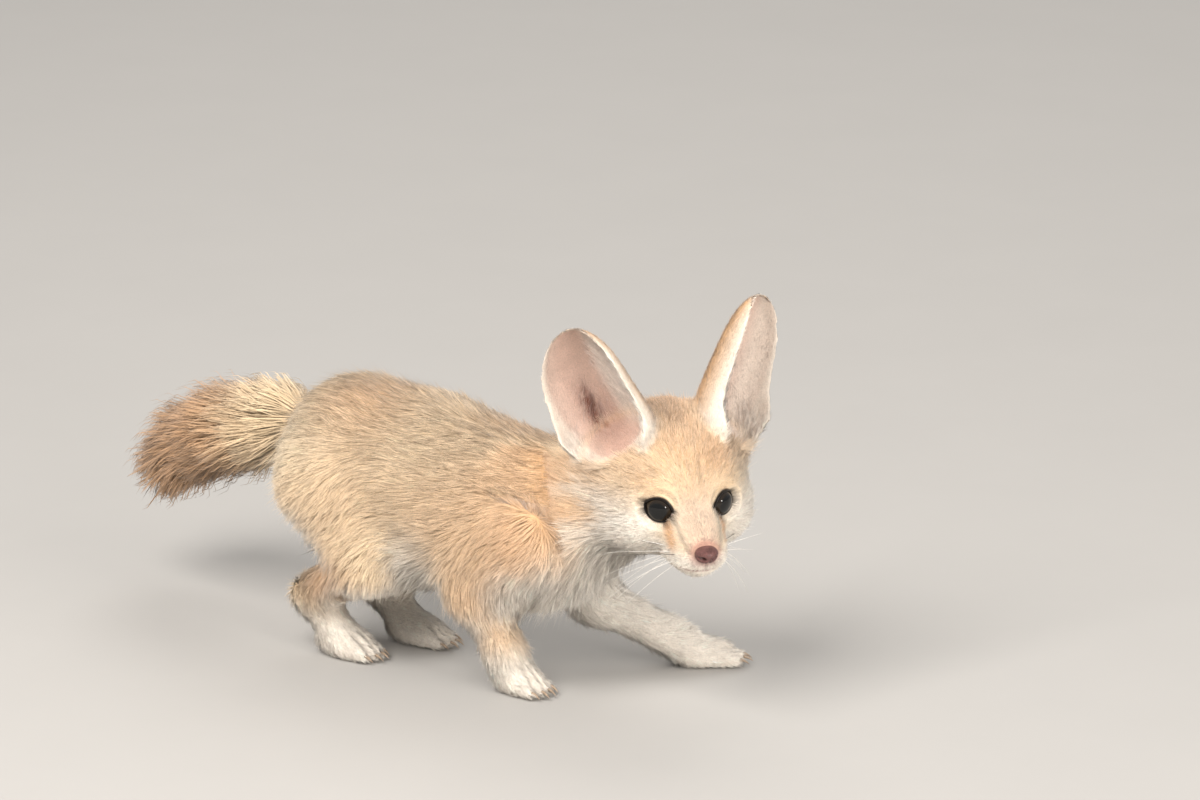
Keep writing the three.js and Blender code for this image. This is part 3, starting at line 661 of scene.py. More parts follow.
def relax(skin):
    """Smooths the skin's facets away: most on the trunk, little on the thin ears and the toes."""
    found = Skin(skin)
    ears = found.on(*EARS) > 0
    paws = found.on(*PAWS) > 0
    trunk = (found.on("torso", "neck", *LEGS) > 0) & (found.places[:, 2] > 42 * MM)
    for name, members, rounds in (
        ("trunk", trunk, 46),
        ("limbs", ~(ears | paws | trunk), 18),
        ("toes", paws, 6),
        ("ears", ears, 9),
    ):
        group = skin.vertex_groups.new(name=name)
        group.add(np.flatnonzero(members).tolist(), 1, "REPLACE")
        applied(skin, "SMOOTH", factor=0.5, iterations=rounds, vertex_group=name)
    skin.vertex_groups.clear()


def refined(skin, near, cuts):
    """Cuts the skin's faces finer at the points marked."""
    alone(skin)
    bpy.ops.object.mode_set(mode="EDIT")
    bpy.ops.mesh.select_all(action="DESELECT")
    bpy.ops.object.mode_set(mode="OBJECT")
    skin.data.polygons.foreach_set("select", np.zeros(len(skin.data.polygons), bool))
    skin.data.vertices.foreach_set("select", near)
    bpy.ops.object.mode_set(mode="EDIT")
    bpy.ops.mesh.select_mode(type="VERT")
    bpy.ops.mesh.subdivide(number_cuts=cuts, smoothness=0)
    bpy.ops.mesh.select_all(action="SELECT")
    bpy.ops.mesh.quads_convert_to_tris()
    bpy.ops.object.mode_set(mode="OBJECT")


def paw_frame(paw):
    """The middle of a paw on the ground, and the ways ahead and across it."""
    spot = PAW_PLACES[paw]
    heading = math.radians(spot["heading"])
    ahead = np.array([math.cos(heading), math.sin(heading), 0])
    across = np.array([-math.sin(heading), math.cos(heading), 0])
    return np.array([RUMP_X + spot["at"][0] * MM, MIDLINE_Y + spot["at"][1] * MM, 0]), ahead, across


def on_paw(paw, places):
    """Places in a paw's own frame, in millimetres: ahead, across and up from its middle."""
    middle, ahead, across = paw_frame(paw)
    out = places - middle
    return np.stack([out @ ahead, out @ across, out[:, 2]], axis=1) / MM


def toe_gaps(places):
    """1 in the grooves between the toes, 0 elsewhere."""
    found = np.zeros(len(places))
    for paw, spot in PAW_PLACES.items():
        ahead, across, up = on_paw(paw, places).T
        near = (np.hypot(ahead, across) < spot["length"]) & (up < 15)
        along = smooth(ahead, 0.14 * spot["length"], 0.32 * spot["length"])
        for gap in TOE_GAPS:
            found = np.maximum(found, near * along * hump(across, gap * PAW_WIDTH, 0.75))
    return found


TOE_GAPS = (-0.245, 0, 0.245)  # across the paw, as shares of its width
TOE_GROOVE = 1.1 * MM


def shape_toes(skin):
    """Parts the toes by grooves."""
    places = places_of(skin)
    near = np.zeros(len(places), bool)
    for paw, spot in PAW_PLACES.items():
        ahead, across, up = on_paw(paw, places).T
        toes = (ahead > 0) & (ahead < spot["length"]) & (np.abs(across) < 10)
        near |= toes & (up < 12) & (up > 0.5)
    refined(skin, near, 1)
    places = places_of(skin)
    depth = TOE_GROOVE * toe_gaps(places)
    move_to(skin, places - normals_of(skin) * depth[:, None])


def refine_face(skin, cuts):
    """Cuts the skin's faces finer round the eyes, nose and mouth."""
    if not cuts:
        return
    local = to_head(places_of(skin))
    near = (local[:, 0] > 21 * MM) & (np.abs(round_mouth(local)[1]) < 3.2 * MM)
    near |= (local[:, 0] > 37 * MM) & (local[:, 2] < 0)
    for side in SIDES:
        near |= np.linalg.norm(places_of(skin) - eye_opening(side), axis=1) < FINE_ROUND_EYE
    refined(skin, near, cuts)


FINE_ROUND_EYE = 10 * MM


def eye_opening(side):
    """The middle of the opening between the lids."""
    centre, (_, _, look) = eye_frame(side)
    return centre + look * EYE_RADIUS


def past_lids(a, b):
    """About how far beyond the lids' edge a place lies, less than 0 in their opening: it is a
    across from the opening's middle and b up from it, all in metres."""
    rise = np.where(b > 0, LID_RISE["upper"], LID_RISE["lower"])
    measure = (a / LID_HALF_WIDTH) ** 2 + (np.abs(b) / rise) ** 1.43
    return (measure - 1) * LID_HALF_WIDTH / 2


def shape_lids(skin, lid_thickness):
    """Opens the lids over each eyeball and folds the skin round them."""
    places = places_of(skin)
    for side in SIDES:
        centre, (across, up, look) = eye_frame(side)
        out = places - centre
        radius = np.linalg.norm(out, axis=1)
        way = unit(out)
        near = (out @ look > 0) & (radius < EYE_RADIUS + 7 * MM)
        settled = radius
        for _ in range(LID_ROUNDS):
            a, b = way @ across * settled, way @ up * settled
            beyond = past_lids(a, b)
            edge = EYE_RADIUS + lid_thickness + 0.55 * MM * smooth(beyond, 0, 2 * MM)
            crease = 0.28 * MM * hump(beyond, 2.3 * MM, 0.6 * MM) * (b > 0)
            sunk = EYE_RADIUS - 1.3 * MM * smooth(beyond, 0, -0.7 * MM)
            wanted = np.where(beyond < 0, sunk, edge - crease)
            wanted = mix(radius, wanted, near * smooth(beyond, 4.2 * MM, 1.6 * MM))
            settled = mix(settled, wanted, 0.6)
        places = centre + way * settled[:, None]
    move_to(skin, places)


LID_ROUNDS = 14  # rounds in which a point's place and its height on the lid settle


def round_mouth(local):
    """For places in the head's frame, in metres: the turn in degrees round the muzzle from its
    front, and how far above the mouth's line they lie."""
    turn = np.degrees(np.arctan2(local[:, 1], local[:, 0] - MOUTH_PIVOT))
    return turn, local[:, 2] - mix(-14.8 * MM, -13.2 * MM, (turn / MOUTH_TURN) ** 2)


MOUTH_PIVOT = 24 * MM  # where in the head the mouth's line is turned about
MOUTH_TURN = 84  # degrees each way from the front to the corners


def shape_mouth(skin, depth):
    """Draws the closed line of the mouth, the split below the nose and the brow's furrow."""
    places = places_of(skin)
    local = to_head(places)
    x, y, z = local.T
    turn, from_line = round_mouth(local)
    fades = smooth(np.abs(turn), MOUTH_TURN + 8, MOUTH_TURN - 14) * (x > 20 * MM)
    groove = depth * hump(from_line, 0, 0.55 * MM) * fades
    lips = 0.45 * MM * hump(np.abs(from_line), 1.5 * MM, 0.9 * MM) * fades
    under_nose = smooth(z, -9 * MM, -10.5 * MM) * smooth(z, -16 * MM, -14.5 * MM)
    split = 0.55 * MM * hump(y, 0, 0.5 * MM) * under_nose * (x > 36 * MM)
    furrow = 0.35 * MM * hump(y, 0, 2.6 * MM) * smooth(x, 14 * MM, 20 * MM) * (z > -4 * MM)
    move_to(skin, places + normals_of(skin) * (lips - groove - split - furrow)[:, None])


# What grows where


def lengths_on(skin, coat):
    """Length of the tufts at each point of the skin."""
    local = to_head(skin.places) / MM
    height = skin.places[:, 2] / MM
    facing = skin.normals
    cheek = smooth(local[:, 0], 22, 0) * smooth(local[:, 2], 8, -6) * smooth(np.abs(local[:, 1]), 10, 22)
    head = mix(6.5, 2.0, smooth(local[:, 0], -6, 30)) + 4.5 * cheek
    for side in SIDES.values():
        head += 4 * smooth(np.linalg.norm(local - [0, side * 27, 11], axis=1), 13, 6)
    head = mix(head, 1.2, smooth(nearest_lid(skin.places), 6 * MM, 1 * MM))
    head = mix(head, 2.0, bowls(skin))
    leg = mix(5.2, 8, smooth(height, 16, 56))
    leg += 3 * smooth(facing[:, 0], -0.2, -0.8) * smooth(height, 20, 40)
    belly = smooth(facing[:, 2], -0.05, -0.7)
    found = skin.on("torso") * (coat.body_length / MM + 4.5 * belly) + skin.on("neck") * (9 + 3 * belly)
    found += skin.on("head") * head + skin.on(*LEGS) * leg + skin.on(*PAWS) * 3.2
    found += skin.on("tail") * coat.tail_length / MM
    for side in SIDES:
        rise, turn, inside, flush = ear_fields(side, skin)
        fringe = 4.2 * inside * smooth(turn, -14, 12) * smooth(rise, 0.9, 0.6)
        fringe += 4 * inside * flush
        short = mix(2.3, 1.3, np.maximum(smooth(rise, 0.85, 1), smooth(np.abs(turn), 70, 88)))
        found += skin.on(f"ear_{side}") * (short + fringe + 3 * smooth(rise, 0.2, 0))
    return skin.spread(found * MM, 12)


def nearest_lid(places):
    """About how far places lie from the edge of the nearer eye's opening, 0 inside it, in metres."""
    found = np.full(len(places), 1.0)
    for side in SIDES:
        centre, (across, up, look) = eye_frame(side)
        out = places - centre
        beyond = np.maximum(past_lids(out @ across, out @ up), 0)
        found = np.minimum(found, np.where(out @ look > 0, beyond, 1))
    return found


def depths_on(skin, lengths):
    """How deep the skin lies under the outside of the coat."""
    low = skin.on(*LEGS, *PAWS) * smooth(skin.places[:, 2], 44 * MM, 30 * MM)
    found = lengths * mix(0.3, 0.13, low) * (1 - skin.on("tail"))
    return skin.spread(mix(found, 0.45 * MM, np.maximum(skin.on(*EARS), bowls(skin))), 8)


def densities_on(skin):
    """The share of the full coat at each point: none on the eyes' openings, lips, nose and soles,
    and little in the ears' cups."""
    local = to_head(skin.places)
    found = np.ones(len(local))
    for side in SIDES:
        centre, (across, up, look) = eye_frame(side)
        out = skin.places - centre
        bare = past_lids(out @ across, out @ up) < 0.04 * LID_HALF_WIDTH
        bare &= (out @ look > 0) & (np.linalg.norm(out, axis=1) < EYE_RADIUS + 3 * MM)
        found[bare] = 0
        height, turn, inside, flush = ear_fields(side, skin)
        fringe = np.maximum(smooth(turn, -16, 8), smooth(turn, -62, -80))
        fringe = np.maximum(fringe, 0.7 * flush)
        fringe = 0.2 + 0.8 * np.maximum(fringe, smooth(height, 0.84, 0.96))
        cup = inside & (skin.on(f"ear_{side}") > 0)
        found[cup] = fringe[cup]
    found *= 1 - 0.85 * bowls(skin)
    found[np.linalg.norm((local - NOSE_AT) / MM / [5, 5, 4], axis=1) < 1] = 0
    turn, from_line = round_mouth(local)
    lips = (np.abs(from_line) < 0.9 * MM) & (np.abs(turn) < MOUTH_TURN - 8)
    found[lips & (local[:, 0] > 24 * MM)] = 0
    found[(skin.places[:, 2] < 1 * MM) & (skin.normals[:, 2] < -0.6)] = 0
    return found


def lifts_on(skin):
    """How steeply the tufts rise from the skin, in radians."""
    low = smooth(skin.places[:, 2], 50 * MM, 30 * MM)
    found = skin.on("torso") * 15 + skin.on("neck") * 18 + skin.on("head") * 21
    found += skin.on(*LEGS) * mix(17, 23, low) + skin.on(*PAWS) * 22
    found += skin.on(*EARS) * 16 + skin.on("tail") * 31
    found += 12 * smooth(skin.normals[:, 2], -0.1, -0.8) * skin.on("torso", "neck")
    return np.radians(skin.spread(found, 12))


def lie_on(skin):
    """Which way the coat lies at each point of the skin."""
    places = skin.places
    found = np.zeros_like(places)
    found += skin.on("torso")[:, None] * unit(np.array([-1, 0, -0.24]))
    found += skin.on("neck")[:, None] * unit(np.array([-0.81, -0.36, -0.5]))
    found += skin.on("head")[:, None] * unit(places - from_head(52, 0, -5))
    swept = unit(np.array([-1, 0, -0.5]))
    for leg, paw in zip(LEGS, PAWS):
        down = unit(middle_of(paw) - places)
        back = 0.85 * smooth(places[:, 2], 34 * MM, 62 * MM) * smooth(skin.normals[:, 0], 0.7, 0.2)
        found += skin.on(leg)[:, None] * mix(down, swept, back)
        found += skin.on(paw)[:, None] * (paw_frame(paw)[1] - [0, 0, 0.35])
    for side in SIDES:
        _, _, up, _, across = ear_frame(side)
        turn, inside = ear_place(side, places, skin.normals)[1:]
        inward = across * SIDES[side] * 0.9
        cup = up + np.outer(smooth(turn, 10, 60), inward) - np.outer(smooth(turn, -20, -70), inward)
        ear = np.where(inside[:, None], unit(cup), up)
        found += skin.on(f"ear_{side}")[:, None] * ear
    on_tail = np.flatnonzero(skin.on("tail"))
    found[on_tail] = tail_measure(places[on_tail])[1]
    found = unit(skin.spread(unit(found), 40))
    turned = np.cross(skin.normals, found) * (0.32 * waves(places, 30 * MM, 3))[:, None]
    return flattened(found + turned, skin.normals)


def tail_measure(places):
    """How far along the tail each place is, from 0 to 1, the way back there and the line's point."""
    marks = np.linspace(0, 1, 40)
    points, ways = (np.array(rows) for rows in zip(*(tail_point(t) for t in marks)))
    nearest = np.linalg.norm(places[:, None] - points[None], axis=2).argmin(axis=1)
    return marks[nearest], ways[nearest], points[nearest]


# Each paw's place from the midline of the rump, the way it points in degrees to the left of the
# trunk's, and its length, in millimetres
PAW_PLACES = {
    "forepaw_right": {"at": (113, -12), "heading": -6, "length": 21},
    "forepaw_left": {"at": (156, 54), "heading": 40, "length": 21},
    "hindpaw_right": {"at": (33, -14.5), "heading": 0, "length": 27},
    "hindpaw_left": {"at": (48, 13), "heading": 4, "length": 27},
}
PAW_WIDTH = 15
WHISKERS_IN_ROW = 4  # there are three rows on each side


def near_line(places, start, end):
    """How far places lie from a straight line between two points, in millimetres."""
    way = end - start
    t = np.clip((places - start) @ way / (way @ way), 0, 1)
    return np.linalg.norm(places - start - np.outer(t, way), axis=1) / MM


def near_path(skin, start, end):
    """How far the skin's points lie from the way over the skin between two places, in millimetres."""
    stops = [start]
    for t in (0.25, 0.5, 0.75):
        apart = np.linalg.norm(skin.places - mix(start, end, t), axis=1)
        stops.append(skin.places[np.argmin(apart)])
    stops.append(end)
    return np.min([near_line(skin.places, a, b) for a, b in zip(stops, stops[1:])], axis=0)


def body_marks(skin, colours):
    """The colours of the trunk, the neck and the legs, with painted shade in the grooves between the
    toes, and how pale each point is.
    """
    x = (skin.places[:, 0] - RUMP_X) / MM
    y = (skin.places[:, 1] - MIDLINE_Y) / MM
    z = skin.places[:, 2] / MM
    facing = skin.normals
    body = 1 - skin.spread(skin.on("tail", *EARS), 6)
    found = plain(colours.sand, len(x))
    found = blended(found, colours.buff, body * 0.55 * (0.5 + 0.5 * waves(skin.places, 55 * MM, 5)))
    shoulder = hump(x, 126, 29) * smooth(z, 18, 50)
    shoulder *= np.maximum(smooth(facing[:, 2], 1, 0.6), skin.on("foreleg_right", "foreleg_left"))
    found = blended(found, colours.buff, body * 0.8 * shoulder)
    knees = hump(x, 34, 16) * hump(z, 37, 13)
    found = blended(found, colours.buff, 0.8 * body * knees * smooth(facing[:, 1], 0.7, 0))
    under = smooth(facing[:, 2], -0.02, -0.6)
    flank = skin.spread(skin.on("torso") * smooth(z, 52, 36) * smooth(x, 124, 100), 12)
    inner = smooth(y * -facing[:, 1], 1, 9) * smooth(z, 58, 44)
    inner = np.maximum(inner, skin.on("foreleg_left") * smooth(z, 60, 40))
    feet = np.maximum(smooth(z, 27, 13), smooth(x, 30, 48) * smooth(x, 76, 60) * smooth(z, 30, 16))
    chest = smooth(facing[:, 0], 0.2, 0.7) * smooth(z, 70, 52) * smooth(x, 118, 134)
    pale = np.maximum.reduce([under, flank, inner * skin.on(*LEGS), feet, chest])
    found = blended(found, colours.cream, body * skin.spread(pale, 16))
    # Painted shade: the grooves between the toes are darkened with the soot colour, as if in shadow.
    return blended(found, colours.soot_and_groove_shade, 0.35 * toe_gaps(skin.places)), pale


def face_marks(skin, colours, found, face):
    """The colours with the face's laid over them, and where the crown and the forehead are."""
    local = to_head(skin.places) / MM
    x, y, z = local.T
    side = np.abs(y)
    ahead = smooth(x + 7 * waves(skin.places, 14 * MM, 21), -10, 14)
    cream = np.maximum(smooth(z, 10, -4) * smooth(side, 8, 19), smooth(z, -4, -11))
    cream = np.maximum(cream, 0.25 * smooth(x, 20, 30))
    found = blended(found, colours.cream, face * ahead * (0.1 + 0.9 * cream))
    bridge = smooth(z, -8, -3) * smooth(side, 9, 4) * smooth(x, 20, 28)
    found = blended(found, colours.lip, 0.3 * face * bridge)
    forehead = smooth(z, 3, 14) * smooth(x, 34, 16) * smooth(side, 27, 14)
    uneven = 0.8 + 0.2 * waves(skin.places, 12 * MM, 9)
    found = blended(found, colours.buff, 0.85 * face * forehead * uneven)
    streaks = waves(local[:, [1, 0, 2]] * [1, 0.15, 0], 3, 12)
    brow = smooth(side, 9, 4) * smooth(x, 12, 22) * smooth(x, 32, 26)
    found = blended(found, colours.soot_and_groove_shade, 0.3 * face * brow * smooth(streaks, 0, 0.9))
    crown = hump(x, -2, 10) * hump(y, -7, 11) * smooth(z, 14, 22)
    uneven = 0.8 + 0.2 * waves(skin.places, 5 * MM, 4)
    found = blended(found, colours.grizzle, 0.55 * face * crown * uneven)

    for name, sign in SIDES.items():
        inner_corner = eye_corner(name)
        below = inner_corner - HEAD_AXES[2] * 2.5 * MM
        mark = near_path(skin, below, from_head(34, sign * 8, -8.5))
        found = blended(found, colours.tear, 0.7 * face * smooth(mark, 3.8, 0.6))
        crease = near_path(skin, inner_corner, from_head(40, sign * 5.5, -7))
        found = blended(found, colours.soot_and_groove_shade, 0.4 * face * smooth(crease, 1.5, 0.3))
        apart = [np.linalg.norm(local - spot / MM, axis=1) for spot in whisker_spots(sign)]
        found = blended(found, colours.soot_and_groove_shade, 0.85 * face * smooth(np.min(apart, axis=0), 1.2, 0.4))
    from_lid = nearest_lid(skin.places)
    found = blended(found, colours.soot_and_groove_shade, 0.6 * face * smooth(from_lid, 0.9 * MM, 0.4 * MM))
    found = blended(found, colours.rim, 0.95 * face * smooth(from_lid, 0.6 * MM, 0.25 * MM))
    turn, from_line = round_mouth(local * MM)
    lips = smooth(np.abs(from_line), 1 * MM, 0.3 * MM) * smooth(np.abs(turn), 88, 70)
    found = blended(found, colours.lip, 0.85 * face * lips * (x > 24))
    pad = np.linalg.norm((local - NOSE_AT / MM) / [5.4, 6, 4.8], axis=1)
    return blended(found, colours.lip, 0.6 * face * smooth(pad, 1.25, 0.85)), crown, forehead


def ear_marks(skin, colours, found, side):
    """The colours with those of one ear in their place."""
    height, turn, inside, flush = ear_fields(side, skin)
    rim = np.maximum(smooth(np.abs(turn), 72, 86), smooth(height, 0.93, 1))
    back = blended(plain(colours.ear_back, len(turn)), colours.cream, 0.85 * rim)
    back = blended(back, colours.cream, 0.55 * smooth(turn, 45, 80))
    flush = np.maximum(flush, 0.38 * hump(height, 0.1, 0.36) * hump(turn, -26, 42))
    cup = blended(plain(colours.ear_skin, len(turn)), colours.ear_flush, 0.9 * flush)
    band = 0.55 * smooth(turn, -12, 14) * smooth(height, 0, 0.2)
    band = np.maximum(band, PALE[side] * smooth(turn, *PALE_FROM[side]))
    cup = blended(cup, colours.cream, np.maximum(band, 0.85 * rim))
    both = np.where(inside[:, None], cup, back)
    found = mix(found, both, skin.spread(skin.on(f"ear_{side}"), 3))
    bowl = skin.on("head") * inside * in_bowl(side, skin.places)
    return mix(found, cup, skin.spread(bowl, 3))


def markings_on(skin, colours):
    """The colour of the coat at each point of the skin, that of its hairs' tips, and how many
    of its hairs are tipped with dark."""
    found, pale = body_marks(skin, colours)
    face = skin.spread(skin.on("head"), 20)
    found, crown, forehead = face_marks(skin, colours, found, face)
    for side in SIDES:
        found = ear_marks(skin, colours, found, side)

    tail = skin.spread(skin.on("tail"), 8)
    along = np.zeros(len(tail))
    near = np.flatnonzero(tail > 0)
    along[near] = tail_measure(skin.places[near])[0]
    found = blended(found, colours.brush, tail * smooth(along, 0.08, 0.5))
    tips = blended(found, [1, 1, 1], np.full(len(tail), 0.14))
    tips = blended(tips, colours.brush_tip, tail * mix(0.05, 0.5, smooth(along, 0.15, 0.9)))
    trunk = skin.on("torso", "neck")
    dark = 0.03 + 0.36 * smooth(skin.normals[:, 2], 0.1, 0.85) * trunk
    dark += 0.1 * trunk * (1 - np.clip(pale, 0, 1))
    dark = dark * (1 - 0.9 * skin.on(*LEGS, *PAWS)) * (1 - skin.on(*EARS)) + 0.4 * tail
    dark += face * (0.02 + 0.5 * crown + 0.05 * forehead)
    for side in SIDES:
        inside, flush = ear_fields(side, skin)[2:]
        dark += 0.7 * skin.on(f"ear_{side}", "head") * inside * flush
    return found, tips, skin.spread(np.clip(dark, 0, 1), 10)


def eye_corner(side):
    """The inner corner of an eye's opening, on the eyeball."""
    centre, (across, _, look) = eye_frame(side)
    half = LID_HALF_WIDTH * 0.97
    return centre - across * SIDES[side] * half + look * math.sqrt(EYE_RADIUS**2 - half**2)


def whisker_spots(sign):
    """Where one side's whiskers stand in the head's frame: three rows down, each from the front."""
    spots = []
    for row in range(3):
        for place in range(WHISKERS_IN_ROW):
            x, y, z = 37 - 2.4 * place - 0.5 * row, 7.2 + 0.35 * place, -9.4 - 1.5 * row
            spots.append(np.array([x, sign * y, z]) * MM)
    return spots


# Growing the coat

TUFT_KINDS = {
    "straight": {"rings": 1, "triangles": 4},
    "long": {"rings": 3, "triangles": 16},
}
COAT_LIMIT = 195000  # triangles in one piece
GUARD_SHARE = 0.06  # tufts that are longer guard hairs
MOST_LIFT = math.radians(62)
SINK = 0.2 * MM  # how deep a root stands in the skin
ABOVE_FLOOR = 0.15 * MM  # the least height of a tip
PATCH = 0.003  # size of a tuft's patch on the map
SKYWARD = 0.4  # how far the tufts' shading is turned up, as light scatters among hairs


def triangles_of(skin):
    """The skin's triangles, as rows of points, and the area of each."""
    skin.piece.data.calc_loop_triangles()
    corners = rows_of(skin.piece.data.loop_triangles, "vertices", 3, np.int32)
    a, b, c = (skin.places[corners[:, i]] for i in range(3))
    return corners, np.linalg.norm(np.cross(b - a, c - a), axis=1) / 2


def roots_in(corners, areas, per_square_mm, draw):
    """Random places on triangles: the triangle of each and its shares of the three corners."""
    wanted = areas / MM**2 * per_square_mm
    count = np.floor(wanted + draw.random(len(areas))).astype(int)
    triangle = np.repeat(np.arange(len(areas)), count)
    u, v = draw.random((2, len(triangle)))
    over = u + v > 1
    u[over], v[over] = 1 - u[over], 1 - v[over]
    return corners[triangle], np.stack([1 - u - v, u, v], axis=1)


def at_roots(values, roots):
    """Values of the skin's points at the roots."""
    corners, shares = roots
    taken = values[corners]
    if taken.ndim == 2:
        return np.sum(taken * shares, axis=1)
    return np.sum(taken * shares[:, :, None], axis=1)


def ring_faces(rings):
    """The triangles of one tuft: a closed three-sided spike of rings that ends in a point."""
    faces = [(0, 1, 2)]
    for ring in range(rings - 1):
        low, high = 3 * ring, 3 * ring + 3
        for a, b in ((0, 1), (1, 2), (2, 0)):
            faces += [(low + a, high + a, high + b), (low + a, high + b, low + b)]
    low, tip = 3 * (rings - 1), 3 * rings
    faces += [(low + a, tip, low + b) for a, b in ((0, 1), (1, 2), (2, 0))]
    return np.array(faces)


def unwrap(places, axis, centre, split):
    """A place on the map for each root: the turn round an axis by the way along it. Where the
    piece is a thin sheet, its two faces have a half of the map each."""
    side = unit(np.cross(axis, [0.12, 0.3, 0.95]))
    top = np.cross(side, axis)
    out = places - centre
    u = np.arctan2(out @ side, out @ top) / (2 * math.pi) + 0.5
    v = out @ axis
    v = (v - v.min()) / max(np.ptp(v), 1e-9)
    if split is not None:
        u = 0.48 * u + 0.51 * split
    return 0.01 + 0.98 * np.stack([u, v], axis=1)


def make_tufts(name, kind, grown, uv):
    """One mesh of tufts. `grown` holds for each tuft its root and tip, the normal and lie at its
    root, its length, width, bow and cant, and its colours: at the root darkened as painted shade, above
    it and at the tip."""
    rings = TUFT_KINDS[kind]["rings"]
    count = len(grown["root"])
    side = np.cross(grown["normal"], grown["lie"])
    points = np.empty((count, 3 * rings + 1, 3))
    tints = np.empty((count, 3 * rings + 1, 3))
    for ring in range(rings):
        t = ring / rings
        middle = grown["root"] + (grown["tip"] - grown["root"]) * t
        middle = middle + grown["normal"] * (grown["length"] * grown["bow"] * 4 * t * (1 - t))[:, None]
        if ring == 0:
            middle = middle - grown["normal"] * SINK
        half = (grown["width"] * (0.5 if ring == 0 else 0.5 - 0.12 * (ring - 1)))[:, None]
        points[:, 3 * ring] = middle - side * half
        points[:, 3 * ring + 1] = middle + side * half
        points[:, 3 * ring + 2] = middle - grown["normal"] * half * 1.1
        # Painted shade: the ring at the root takes the darker root colour, which fades into the tuft's
        # own colour further up.
        tint = mix(grown["painted_root_shade"], grown["colour"], min(1.0, 1.6 * t))
        tints[:, 3 * ring : 3 * ring + 3] = tint[:, None, :]
    points[:, -1] = grown["tip"]
    tints[:, -1] = grown["end"]
    faces = ring_faces(rings)
    corners = (faces[None] + (np.arange(count) * points.shape[1])[:, None, None]).reshape(-1)
    mesh = bpy.data.meshes.new(name)
    mesh.vertices.add(points.shape[0] * points.shape[1])
    mesh.vertices.foreach_set("co", points.astype(np.float32).ravel())
    mesh.loops.add(len(corners))
    mesh.loops.foreach_set("vertex_index", corners.astype(np.int32))
    mesh.polygons.add(len(corners) // 3)
    mesh.polygons.foreach_set("loop_start", np.arange(0, len(corners), 3, dtype=np.int32))
    mesh.update(calc_edges=True)
    mesh.polygons.foreach_set("use_smooth", np.ones(len(mesh.polygons), bool))
    piece = bpy.data.objects.new(name, mesh)
    bpy.context.collection.objects.link(piece)
    paint(piece, tints.reshape(-1, 3))
    reach = (points - grown["root"][:, None, :]) / grown["length"][:, None, None]
    facing = grown["normal"] + side * grown["cant"][:, None] + [0, 0, SKYWARD]
    turned = unit(facing[:, None, :] + 0.5 * reach)
    soft = mesh.attributes.new("custom_normal", "FLOAT_VECTOR", "POINT")
    soft.data.foreach_set("vector", turned.astype(np.float32).ravel())
    local = np.zeros((points.shape[1], 2))
    for ring in range(rings):
        for corner, across in enumerate((-0.5, 0.5, 0)):
            local[3 * ring + corner] = across, ring / rings - 0.5
    local[-1] = 0, 0.5
    spread = uv[:, None, :] + local[None] * PATCH
    layer = mesh.uv_layers.new(name="OFBake")
    layer.data.foreach_set("uv", spread.reshape(-1, 2)[corners].astype(np.float32).ravel())
    return piece


def leaders_of(root, draw, share):
    """For each tuft the nearest of the few that lead the clumps, and how far away it stands."""
    leaders = np.flatnonzero(draw.random(len(root)) < share)
    tree = kdtree.KDTree(len(leaders))
    for i in leaders:
        tree.insert(root[i], i)
    tree.balance()
    own = np.array([tree.find(place)[1] for place in root])
    return own, np.linalg.norm(root[own] - root, axis=1)


# Each coat piece: its nodes, which side of them, the kind of tuft, tufts in a square
# millimetre, their width in millimetres and the share of them that lead a clump
COAT_PIECES = {
    "coat_torso_left": (["torso"], "left", "straight", 6.2, 0.34, 0.05),
    "coat_torso_right": (["torso"], "right", "straight", 6.2, 0.34, 0.05),
    "coat_neck": (["neck"], None, "straight", 6.5, 0.34, 0.05),
    "coat_head_left": (["head"], "left", "straight", 8, 0.27, 0.07),
    "coat_head_right": (["head"], "right", "straight", 8, 0.27, 0.07),
    "coat_ear_left": (["ear_left"], None, "straight", 5, 0.22, 0.1),
    "coat_ear_right": (["ear_right"], None, "straight", 5, 0.22, 0.1),
    "coat_foreleg_left": (["foreleg_left", "forepaw_left"], None, "straight", 5, 0.34, 0.06),
    "coat_foreleg_right": (["foreleg_right", "forepaw_right"], None, "straight", 5, 0.34, 0.06),
    "coat_hindleg_left": (["hindleg_left", "hindpaw_left"], None, "straight", 4.4, 0.36, 0.06),
    "coat_hindleg_right": (["hindleg_right", "hindpaw_right"], None, "straight", 4.4, 0.36, 0.06),
    "coat_tail_upper": (["tail"], "upper", "long", 3.4, 0.36, 0.05),
    "coat_tail_lower": (["tail"], "lower", "long", 3.4, 0.36, 0.05),
}


def half_of(places, half):
    """Whether places lie on the named half of the body or the tail."""
    if half is None:
        return np.ones(len(places), bool)
    if half in SIDES:
        return (places[:, 1] - MIDLINE_Y) * SIDES[half] >= 0
    return (places[:, 2] >= tail_measure(places)[2][:, 2]) == (half == "upper")


def roots_of(skin, fields, coat, name, draw):
    """Where the tufts of one piece of the coat stand."""
    nodes, half, kind, per_square_mm = COAT_PIECES[name][:4]
    corners, areas = triangles_of(skin)
    member = skin.on(*nodes)[corners].mean(axis=1) > 0.5
    centres = skin.places[corners].mean(axis=1)
    if nodes == ["head"]:
        member &= to_head(centres)[:, 1] * SIDES[half] >= 0
    else:
        member[member] = half_of(centres[member], half)
    corners, areas = corners[member], areas[member]
    share = fields["density"][corners].mean(axis=1)
    most = COAT_LIMIT / TUFT_KINDS[kind]["triangles"]
    wanted = np.sum(areas / MM**2 * share) * per_square_mm
    dense = per_square_mm * min(1, most / wanted) * coat.density * share
    return roots_in(corners, areas, dense, draw)


